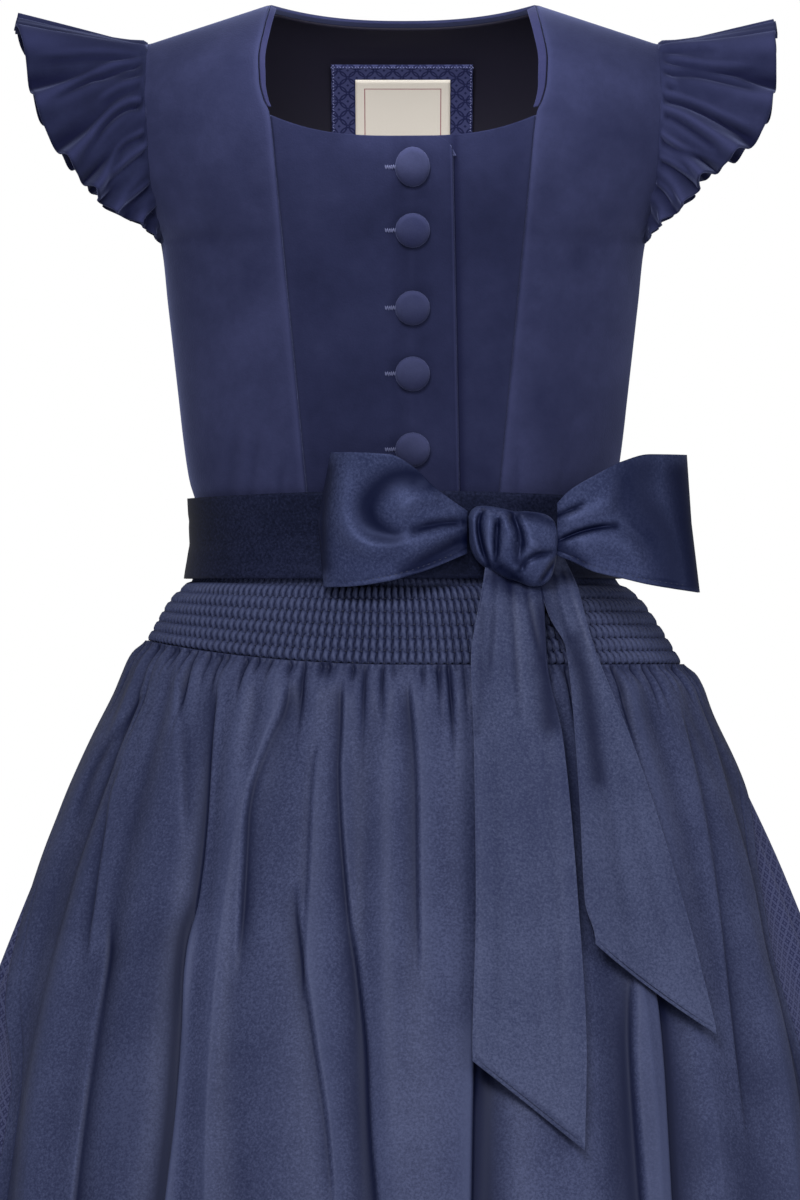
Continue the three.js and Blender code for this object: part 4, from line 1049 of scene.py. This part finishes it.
def stand_off(angle, level):
    """How far the apron stands off the skirt, and the painted shade in its hollows."""
    clinging = APRON_SIDES["clings"] * smooth(np.abs(angle), APRON_SIDES["start"], APRON_SIDES["end"])
    fullness = lookup(APRON, "fullness", level) * (1 - clinging)
    trough = 0
    for fold in APRON_FOLDS:
        trough = np.maximum(trough, fold[3] * bell(angle - fold_angle(fold, level), fold[4]))
    top, below = APRON_HEAD, APRON_FOLD_LEVELS["top"] - level
    breadth = lookup(SKIRT, "breadth", level)
    spread = np.sqrt(lookup(SKIRT, "breadth", APRON_FOLD_LEVELS["top"]) / breadth)
    pits = 0
    narrows = PITS["narrow"] + (1 - PITS["narrow"]) * np.exp(-np.maximum(below, 0) / PITS["narrows"])
    for at, width, depth, length in GATHERS:
        sides = np.abs(angle - at * spread) / (width * narrows)
        pits = pits + depth * np.exp(-sides - (below / length) ** 2)
    fine = -pits
    for at, width, depth, length in SOFT_FOLDS:
        fine = fine - depth * bell(angle - at * spread, width * spread) * np.exp(-(below / length) ** 2)
    for at, middle, across, height, depth in DENTS:
        fine = fine - depth * bell(angle - at, across) * bell(level - middle, height)
    pleats = top["pleats"] * np.abs(np.sin(np.pi * pleat_column(angle))) ** top["pleat_power"]
    pleats = pleats * np.exp(-np.maximum(below, 0) / top["pleats_fade"])
    at_band = OFF_SKIRT["smocking"] + PLEAT["at_stitches"] + top["off_stitches"]
    laid, shade = laid_folds(lookup(SKIRT, "drift", level) + breadth * sine(angle), level)
    puff = top["rests"] + top["swells"] * bell(below - top["swell_at"], top["swell_width"])
    free = OFF_SKIRT["apron"] + fullness * (1 - 0.8 * trough) + puff + fine + laid
    out = mix(at_band, free, smooth(below, *top["join"])) + pleats
    return np.maximum(out, top["least"]), np.minimum(shade + PITS["dark"] * pits, 1)


BAND_RISE = dict(height=13, fades=110)


def band_rise(angle):
    """The stitched rows climb towards the right side seam."""
    return BAND_RISE["height"] * sine(np.minimum(angle, 0)) ** 2


def climbed(angle, level):
    """A level of the smocking with that climb, which fades out towards its top."""
    return level + band_rise(angle) * (SMOCKING["top"] - level) / (SMOCKING["top"] - apron_top())


def apron_top():
    return SMOCKING["first_row"] - (SMOCKING["rows"] - 1) * SMOCKING["row_pitch"]


def apron_edge(across, level):
    return np.where(across < 0, lookup(APRON, "right_edge", level), lookup(APRON, "left_edge", level))


def apron_skirt():
    top, bottom = apron_top(), APRON_FOLD_LEVELS["hem"]
    across, level = grid(np.linspace(-1, 1, 616), top - (top - bottom) * np.linspace(1, 0, 72) ** 1.5)
    edge = apron_edge(across, level)
    angle = across * edge
    level = level + band_rise(angle) * smooth(level, top - BAND_RISE["fades"], top)
    out, shade = stand_off(angle, level - band_rise(angle))
    from_side = np.radians((1 - np.abs(across)) * edge) * lookup(SKIRT, "breadth", level)
    for away, hem in ((from_side, HEM["side"]), (level - bottom, HEM["bottom"])):
        out = out - HEM["groove"] * bell(away - hem, HEM["width"])
    return skirt_point(FRONT, angle, level, out), shade


# A puff's form: how far its stitches wander and pinch, in rows, how it leans, how wide the slit beside
# it is, how much flatter it gets at the sides, and the gathered head above the first row.
PUFF = dict(wanders=0.09, pinched=0.14, leans=0.22, slit=0.22, opens=0.6, power=0.7, flatter=0.4,
            flat_sides=(55, 85), head=1.2, head_at=0.55, head_width=0.3, sinks=0.4)


def smocked_at(column, level):
    """The smocked satin's places by pleat and level: puffs between the stitched rows, which the
    stitches pinch into flat tubes with narrow slits between them."""
    angle = pleat_angle(column)
    row = (SMOCKING["first_row"] - level) / SMOCKING["row_pitch"]
    row = row + PUFF["wanders"] * np.sin(2 * np.pi * column)
    between = row - np.floor(row)
    pinched = np.maximum(bell(between, PUFF["pinched"]), bell(1 - between, PUFF["pinched"]))
    lean = PUFF["leans"] * (between - 0.5) * (1 - pinched)
    bulge = (np.abs(np.sin(np.pi * (column + lean))) - PUFF["slit"]) / PUFF["opens"]
    puffed = PLEAT["puffed"] * (1 - PUFF["flatter"] * smooth(np.abs(angle), *PUFF["flat_sides"]))
    height = mix(puffed, PLEAT["at_stitches"], pinched)
    lying = smooth(level, SMOCKING["first_row"], SMOCKING["top"])
    above = mix(PLEAT["at_stitches"], PLEAT["lying"], lying)
    head = PUFF["head"] * bell(row + PUFF["head_at"], PUFF["head_width"])
    height = np.where(row < 0, np.maximum(above, head), height) * np.clip(bulge, 0, 1) ** PUFF["power"]
    valley = skirt_point(FRONT, angle, climbed(angle, level), OFF_SKIRT["smocking"] - PUFF["sinks"])
    return raised(valley, height)


def smocking():
    column, level = grid(np.linspace(0, SMOCKING["pleats"], SMOCKING["pleats"] * 7 + 1),
                         np.linspace(apron_top(), SMOCKING["top"], 52))
    return smocked_at(column, level)


ROW_STITCH = dict(zigzag=0.06, clear=0.3, lean=0.35, size=(1.7, 0.5, 0.5))


def smocking_stitches():
    """The threads that hold each pair of pleats together at each row, in turn higher and lower."""
    for row in range(SMOCKING["rows"]):
        column = np.arange(1, SMOCKING["pleats"]).astype(float)
        angle = pleat_angle(column)
        step = row + ROW_STITCH["zigzag"] * (-1) ** column
        level = SMOCKING["first_row"] - step * SMOCKING["row_pitch"]
        out = OFF_SKIRT["smocking"] + ROW_STITCH["clear"]
        spots = skirt_point(FRONT, angle, climbed(angle, level), out)
        outward = place(sine(angle), -cosine(angle), 0 * angle)
        along = place(cosine(angle), sine(angle), ROW_STITCH["lean"] * (-1) ** (column + row))
        stitches(f"smocking_row_{row + 1}_thread", spots, along, outward, ROW_STITCH["size"], THREAD)


# Sash and bow
SASH_CREASES = (
    (-122, -281, -20, -279, 2.6, 0.9), (-118, -296, -40, -290, 3.4, 1.2),
    (-112, -305, -52, -308, 2.4, 0.8), (-90, -287, -45, -285, 2, 0.5),
    (50, -276, 122, -284, 2.6, 0.8), (30, -296, 124, -300, 3.4, 1.1),
    (60, -308, 118, -305, 2.4, 0.7))


def sash_band():
    angle, level = grid(np.linspace(-180, 180, 260, endpoint=False), np.linspace(-316, -268, 26))
    points = sash_point(angle, level)
    points[..., 2] -= SASH_SIDE_DIP * smooth(level, -316, -268) * sine(angle) ** 2
    return raised(points, creases(points[..., 0], level, SASH_CREASES), ring=True)


def beside_sash(x):
    angle = np.degrees(np.arcsin(np.clip(x / SASH_MIDDLE["breadth"], -1, 1)))
    return -SASH_MIDDLE["depth"] * cosine(angle)


# The loops' main folds and their painted shade, as hand_laid and shaded take them.
LOOP_FOLDS = {
    # The deep hook, the root's two hollows, the swell round them, its heart and the turned edge.
    RIGHT: (
        (2.5, 9, 1.0, 8, (16.2, -263.9), (3.9, -259.1), (-8.5, -261.8), (-16.8, -270.1),
         (-19.8, -279.7), (-15.1, -289.3), (-5.8, -294.5)),
        (3.4, 3.4, 0.95, 3.4, (31.9, -285.2), (17.6, -286.3), (6.6, -289.6)),
        (3, 5, 1.0, 7, (34.1, -294.8), (23.1, -301), (13.5, -306.5), (2.5, -312.7)),
        (-3, 6, 0, 1, (-30.5, -249.4), (-33.6, -270.1), (-33.6, -286.6), (-23.7, -298.2),
         (-5.8, -300.3), (10.7, -295.5), (30, -287.9)),
        (-2.6, 5, 0, 1, (20.4, -272.1), (9.4, -271.4), (0.4, -277.6), (-3, -285.2)),
        (1.5, 3, 1.0, 6, (-41.5, -256.3), (-44.8, -281.1), (-43.6, -308.6))),
    # The root's two hollows, the turn, two swells, then the painted shade of the side, the edge and the
    # root.
    LEFT: (
        (2.4, 2.2, 0.85, 2.6, (80.2, -284.1), (89.1, -279.7), (97.4, -275.8)),
        (3.6, 2.2, 1.0, 2.8, (84.3, -295.9), (94.6, -291), (107, -287.9), (115.9, -287.2)),
        (2, 6, 0, 1, (120, -256.3), (117.3, -267.3), (118.7, -281.1), (129.7, -294.1), (133.8, -304.4),
         (132.4, -316.8)),
        (-2.2, 4.5, 0, 1, (85, -285.9), (100.1, -282.4), (111.1, -276.9), (114.5, -265.9)),
        (-3, 7, 0, 1, (91.9, -298.9), (111.1, -294.8), (126.2, -301.7), (129, -312.7)),
        (0, 1, 1.0, 13, (129, -257.7), (127.6, -271.4), (138.6, -285.2), (145.5, -298.9),
         (148.2, -316.8)),
        (0, 1, 1.0, 12, (151, -259.1), (153.7, -287.9), (157.9, -316.8)),
        (0, 1, 0.9, 5, (86.4, -298.2), (97.4, -307.5)))}
LOOP_SEAM = dict(above=2.8, depth=0.55, width=0.8, pitch=3.0, from_ends=9, clear=0.55,
                 size=(2.1, 0.5, 0.4))


def loop_edges(side, x):
    return lookup(LOOPS[side]["edges"], "top", x, "x"), lookup(LOOPS[side]["edges"], "bottom", x, "x")


def loop_middle(side, x, z):
    """Where a loop's middle is in depth: beside the sash, or sweeping back from the knot."""
    loop = LOOPS[side]
    lean = loop["leans"] * smooth(np.abs(x - loop["root"]), LOOP_LEAN["start"], LOOP_LEAN["full"])
    lean = lean * (z - LOOP_LEAN["about"]) / LOOP_LEAN["over"]
    if side == RIGHT:
        return beside_sash(x) - LOOP["off_sash"], lean
    return KNOT["y"] + LOOP["left_sweep"] * (x - loop["root"]), lean


def loop_front(side, x, z, arch):
    """How far the loop's front wall stands out at a place, by how far it arches there."""
    above = z - loop_edges(side, x)[1] - LOOP_SEAM["above"]
    seam = LOOP_SEAM["depth"] * bell(above, LOOP_SEAM["width"])
    folds = hand_laid(x, z, LOOP_FOLDS[side]) * smooth(arch, 0, LOOP["flat_near_edge"])
    return LOOP["front_bulge"] * arch + folds - seam


def bow_loop(side):
    loop = LOOPS[side]
    turn, up = grid(np.linspace(LOOP["root_angle"], 360 - LOOP["root_angle"], 190),
                    np.linspace(0, 1, 72))
    tip = np.interp(up, (0, 0.5, 1), loop["tip"])
    x = mix(loop["root"], tip, (1 - cosine(turn)) / 2)
    top, bottom = loop_edges(side, x)
    z = mix(bottom, top, up)
    front = turn < 180
    out = np.where(front, loop_front(side, x, z, sine(turn)), LOOP["back_bulge"] * sine(turn))
    middle, lean = loop_middle(side, x, z)
    return place(x, middle - out + lean, z), shaded(x, z, LOOP_FOLDS[side]) * front


def loop_stitches(name, side):
    """The seam along a loop's lower edge, sewn in small even stitches."""
    root, tip = LOOPS[side]["root"], LOOPS[side]["tip"][0]
    x = np.arange(min(root, tip) + LOOP_SEAM["from_ends"], max(root, tip) - LOOP_SEAM["from_ends"],
                  LOOP_SEAM["pitch"])
    arch = np.sqrt(np.maximum(0, 1 - (1 - 2 * (x - root) / (tip - root)) ** 2))
    z = loop_edges(side, x)[1] + LOOP_SEAM["above"]
    middle, lean = loop_middle(side, x, z)
    spots = place(x, middle - loop_front(side, x, z, arch) - LOOP_SEAM["clear"] + lean, z)
    stitches(name, spots, np.gradient(spots, axis=0), place(0 * x, -1, 0), LOOP_SEAM["size"], THREAD)


# The ties' folds near the knot and further down, the right one's first, then the painted shades of
# both.
TAIL_FOLDS = (
    (1.6, 2.2, 0, 1, (50, -312), (50, -335), (47, -372)),
    (1.8, 2.4, 0, 1, (58, -312), (60, -340), (63, -390)),
    (1.3, 2.0, 0, 1, (66, -312), (69, -334), (75, -360)),
    (1.0, 5.0, 0, 1, (47, -360), (52, -470), (50, -590)),
    (0.9, 5.0, 0, 1, (76, -380), (84, -480), (86, -600)),
    (-0.8, 6.0, 0, 1, (62, -400), (68, -500), (66, -590)),
    (1.5, 2.2, 0, 1, (80, -305), (86, -330), (94, -362)),
    (1.4, 2.2, 0, 1, (86, -306), (93, -330), (102, -356)),
    (1.1, 5.0, 0, 1, (100, -380), (112, -440), (124, -520)),
    (0.9, 5.0, 0, 1, (112, -380), (128, -450), (148, -530)),
    (0, 1, 0.95, 7, (74, -322), (77, -355), (81, -395)), (0, 1, 0.45, 3, (44, -330), (41, -400)),
    (0, 1, 0.7, 5.5, (93, -350), (101, -378), (106, -425)), (0, 1, 0.8, 6, (56, -321), (76, -330)))


def tail(side):
    """A tie's end: satin folded double, so it is a flat tube that is open at its slanted cut."""
    edges, slant = TAILS[side]["edges"], TAILS[side]["slant"]
    turn, down = grid(np.linspace(0, 1, 96, endpoint=False), np.linspace(0, 1, 90))
    front = turn < 0.5
    about = np.cos(np.pi * np.where(front, 2 * turn, 2 - 2 * turn))
    share = TAIL["wall_share"]
    across = 0.5 - 0.5 * about * (share + (1 - share) * np.abs(about) ** 0.5)
    end = mix(slant[0], slant[1], across) - np.where(front, 0, TAIL["back_shorter"])
    level = mix(end, edges["level"][-1], down ** 0.9)
    x = mix(lookup(edges, "right", level), lookup(edges, "left", level), across)
    ridges = OFF_SKIRT["apron"] + lookup(APRON, "fullness", level) + PLEAT["puffed"]
    lift = TAIL["top_lift"] * np.exp(np.minimum(level - TAIL["lift_from"], 0) / TAIL["lift_fades"])
    out = ridges + TAIL["off_ridges"] + lift + TAIL["hollow"] * cosine(360 * across)
    swell = TAIL["swell"] * np.sin(np.pi * across) ** 0.5 * np.where(front, 1, -1)
    out = out - TAIL["inset"] + swell + TAIL["creased"] * hand_laid(x, level, TAIL_FOLDS)
    breadth = lookup(SKIRT, "breadth", level) + out
    angle = np.degrees(np.arcsin(np.clip((x - lookup(SKIRT, "drift", level)) / breadth, -1, 1)))
    return skirt_point(FRONT, angle, level, out), shaded(x, level, TAIL_FOLDS)


# The knot's outline, from its right side over its top, and the folds between and on its wraps, with
# their painted shade.
KNOT_OUTLINE = (
    (36.5, -289), (36, -278), (42, -276), (51, -277.5), (61, -280), (72, -280), (81, -282),
    (84.5, -288), (84.5, -297), (83, -308), (80, -318), (72, -321), (62.5, -317), (50, -312),
    (42, -308), (37, -300))
KNOT_FOLDS = (
    (3.2, 1.9, 0.95, 2.2, (43.7, -278.6), (40.7, -285.2), (43, -298.9), (47.2, -309.2)),
    (3.0, 1.8, 0.95, 2.0, (51.7, -284.5), (51.3, -296.2), (50.6, -306.5)),
    (3.6, 2.8, 0.95, 3.2, (58.9, -279.7), (63, -287.9), (64.6, -294.8), (62.7, -306.4)),
    (2.8, 2.2, 0.9, 2.4, (63.7, -312), (68.5, -304.4), (80.9, -301.7)),
    (2.4, 1.9, 0.9, 2.2, (75.4, -317.9), (80.9, -309.9), (85, -304.2)),
    (1.5, 2.8, 0.9, 4.5, (51.3, -309.2), (63, -316.8)),
    (0, 1, 0.9, 4.0, (63.7, -281.1), (72.6, -281.1), (80.2, -285.2)),
    (-2.0, 2.0, 0, 1, (48.1, -281.1), (45.9, -293.4), (48.1, -305.8)),
    (-2.4, 3.2, 0, 1, (55.4, -279.7), (58.2, -293.4), (55.4, -301.7)),
    (-2.2, 4.0, 0, 1, (73.3, -294.8), (69.9, -300.3)),
    (-1.5, 1.6, 0, 1, (38.5, -281.1), (38.9, -294.8), (43.7, -307.2)))


def bow_knot():
    """The knot: one wrap of satin whose gathers cross it in soft valleys."""
    turn, lift = grid(np.linspace(0, 2 * np.pi, 150, endpoint=False),
                      np.radians(np.linspace(-90, 90, 66)))
    middle = np.array([KNOT["x"], KNOT["z"]])
    outline = np.array(KNOT_OUTLINE) - middle
    bearing = np.unwrap(np.arctan2(outline[:, 1], outline[:, 0]))
    order = np.argsort(bearing)
    bearing, far = bearing[order], np.hypot(*outline.T)[order]
    bearing = np.concatenate([bearing - 2 * np.pi, bearing, bearing + 2 * np.pi])
    far = np.interp(turn, bearing, np.tile(far, 3))
    far = (far + np.roll(far, 3, axis=1) + np.roll(far, -3, axis=1)) / 3
    reach, height = np.cos(lift) ** KNOT["roundness"], np.sin(lift)
    x = middle[0] + far * reach * np.cos(turn)
    z = middle[1] + far * reach * np.sin(turn)
    out = KNOT["half_depth"] * np.sign(height) * np.abs(height) ** KNOT["roundness"]
    out = out + hand_laid(x, z, KNOT_FOLDS) * smooth(height, 0, 0.5)
    shade = shaded(x, z, KNOT_FOLDS) * smooth(height, 0, 0.4)
    points = place(x, KNOT["y"] - out, z)
    mesh = surface_mesh("bow_knot_satin", points, ring=True, folded=(10, 16, 1.8), shade=shade)
    return settle(put("bow_knot_satin", mesh, ["bow_knot"]), BOW_SATIN)


# The dress
# How much taller than round the top button's cover is.
TOP_BUTTON = 1.16


def closed_button(level, index):
    name = f"button_{index}_velvet"
    tall = TOP_BUTTON if index == 1 else 1.0
    piece = put(name, button_mesh(name, level, tall), [f"button_{index}"])
    return settle(piece, BUTTON_VELVET)


SIDES = {"right": RIGHT, "left": LEFT}
PATCH_DEPTH = WALL["velvet"] + WALL["lining"] + CLEAR["patch"] + PATCH["clear"]
LABEL_DEPTH = PATCH_DEPTH + WALL["label"] + LABEL["clear"]
# folded and shade give each piece painted shade in its creases and painted highlights on its edges.
cloth("front_centre_right_velvet", "bodice_front_centre_right", front_centre_right(), 1.8,
      CENTRE_VELVET, folded=(3, 0, 0.8))
made, dark = front_centre_left()
cloth("front_centre_left_velvet", "bodice_front_centre_left", made, 1.8, CENTRE_VELVET,
      folded=(3, 0, 1.0), shade=dark)
for word, side in SIDES.items():
    cloth(f"front_side_{word}_velvet", f"bodice_front_side_{word}", front_side(side), 1.8, VELVET,
          folded=(12, 4, 1.5), shade=seam_painted_highlight(side))
cloth("back_velvet", "bodice_back", bodice_back(), 1.8, VELVET)
for word, side in SIDES.items():
    cloth(f"neck_edge_{word}_velvet", f"neck_facing_{word}", neck_facing(side), 1.0, EDGE_VELVET,
          fine=1)
cloth("lining_viscose", "back_lining", back_lining(), 0.8, LINING)
cloth("patch_cloth", "label_patch", inside_back(PATCH, PATCH_DEPTH, 40, 32), 0.9, PATCH_JACQUARD)
patch_stitches()
cloth("label_woven", "neck_label", inside_back(LABEL, LABEL_DEPTH, 30, 26), 0.7, LABEL_CLOTH)
for word, side, full in (("right", RIGHT, -2.0), ("left", LEFT, 2.2)):
    cloth(f"sleeve_{word}_velvet", f"sleeve_{word}", sleeve(side), 1.3, SHADED_SLEEVE_VELVET[side],
          offset=0.0, folded=(16, 2, full))
for number, button_level in enumerate(BUTTON_LEVELS, 1):
    closed_button(button_level, number)
    buttonhole(button_level, number)
for word, facing in (("front", FRONT), ("back", BACK)):
    cloth(f"skirt_{word}_jacquard", f"skirt_{word}", skirt_half(facing), 1.2, SKIRT_JACQUARD,
          pattern_row=30)
made, dark = apron_skirt()
cloth("apron_satin", "apron_skirt", made, 1.0, APRON_SATIN, folded=(90, 2, 2.2),
      shade=dark)
cloth("smocked_satin", "apron_smocking", smocking(), 0.6, APRON_SATIN,
      folded=(14, 2, 0.9))
smocking_stitches()
cloth("sash_satin", "sash_band", sash_band(), 1.3, SASH_SATIN, ring=True)
for word, side in SIDES.items():
    made, dark = bow_loop(side)
    cloth(f"loop_{word}_satin", f"bow_loop_{word}", made, 1.2, BOW_SATIN, offset=0.0,
          folded=(60, 60, side * 4.5), shade=dark)
    loop_stitches(f"loop_{word}_thread", side)
for word, side in SIDES.items():
    made, dark = tail(side)
    cloth(f"tail_{word}_satin", f"bow_tail_{word}", made, 0.5, TIE_SATIN, ring=True,
          folded=(10, 4, 1.0), shade=dark)
bow_knot()


# Stage, light and camera
def stage_floor(level, half=3.0):
    mesh = bpy.data.meshes.new("floor")
    corners = [(-half, -half, level), (half, -half, level), (half, half, level), (-half, half, level)]
    mesh.from_pydata(corners, [], [(0, 1, 2, 3)])
    floor = bpy.data.objects.new("floor", mesh)
    bpy.context.scene.collection.objects.link(floor)
    mesh.materials.append(finish_named("pale floor", Base_Color=colour("#e6e6e8"), Roughness=0.9)[0])


def area_light(name, spot, target, size, power):
    data = bpy.data.lights.new(name, "AREA")
    data.shape = "SQUARE"
    data.size = size
    data.energy = power
    light = bpy.data.objects.new(name, data)
    bpy.context.scene.collection.objects.link(light)
    light.location = spot
    away = np.array(target) - np.array(spot)
    light.visible_camera = False
    light.rotation_mode = "QUATERNION"
    light.rotation_quaternion = Vector(away.tolist()).to_track_quat("-Z", "Y")


def studio_world(light):
    """Soft white light from all round, before a white backdrop."""
    world = bpy.data.worlds.new("studio")
    bpy.context.scene.world = world
    world.use_nodes = True
    tree = world.node_tree
    lit = tree.nodes["Background"]
    lit.inputs["Color"].default_value = (1.0, 1.0, 1.0, 1.0)
    lit.inputs["Strength"].default_value = light
    backdrop = add(tree, "ShaderNodeBackground", {"Color": (1.0, 1.0, 1.0, 1.0), "Strength": 1.0})
    seen = add(tree, "ShaderNodeLightPath").outputs["Is Camera Ray"]
    both = add(tree, "ShaderNodeMixShader", {0: seen, 1: lit.outputs[0], 2: backdrop.outputs[0]})
    tree.links.new(both.outputs[0], tree.nodes["World Output"].inputs["Surface"])


# How far below the shoulders the floor lies, how strong the light from all round is, and each lamp:
# its place, what it points at, its size in metres and its power in watts.
FLOOR = -0.98
ALL_ROUND = 0.22
LAMPS = dict(
    key=((-0.6, -2.8, 1.5), (0, 0, -0.35), 1.0, 56), front=((0.3, -4.0, 0.5), (0, 0, -0.3), 1.2, 20),
    fill=((2.2, -1.8, 0.2), (0, 0, -0.3), 1.6, 15),
    neck=((0, -0.12, 0.03), (0, 0.078, -0.06), 0.08, 0.26))
stage_floor(FLOOR)
for name, lamp in LAMPS.items():
    area_light(name, *lamp)
studio_world(ALL_ROUND)
bpy.context.scene.view_settings.view_transform = "Standard"

# What the camera frames, in metres: the height, and the middle's place across and up.
FRAME_HEIGHT = 0.66
FRAME_MIDDLE = (-0.00165, -0.3278)
CAMERA_AWAY = 16.0
SENSOR = 36.0
lens = bpy.data.cameras.new("camera")
lens.sensor_width = SENSOR
lens.lens = SENSOR * CAMERA_AWAY / FRAME_HEIGHT
lens.clip_end = 1000.0
camera = bpy.data.objects.new("camera", lens)
bpy.context.scene.collection.objects.link(camera)
camera.location = (FRAME_MIDDLE[0], -CAMERA_AWAY, FRAME_MIDDLE[1])
camera.rotation_euler = (math.pi / 2, 0, 0)
bpy.context.scene.camera = camera
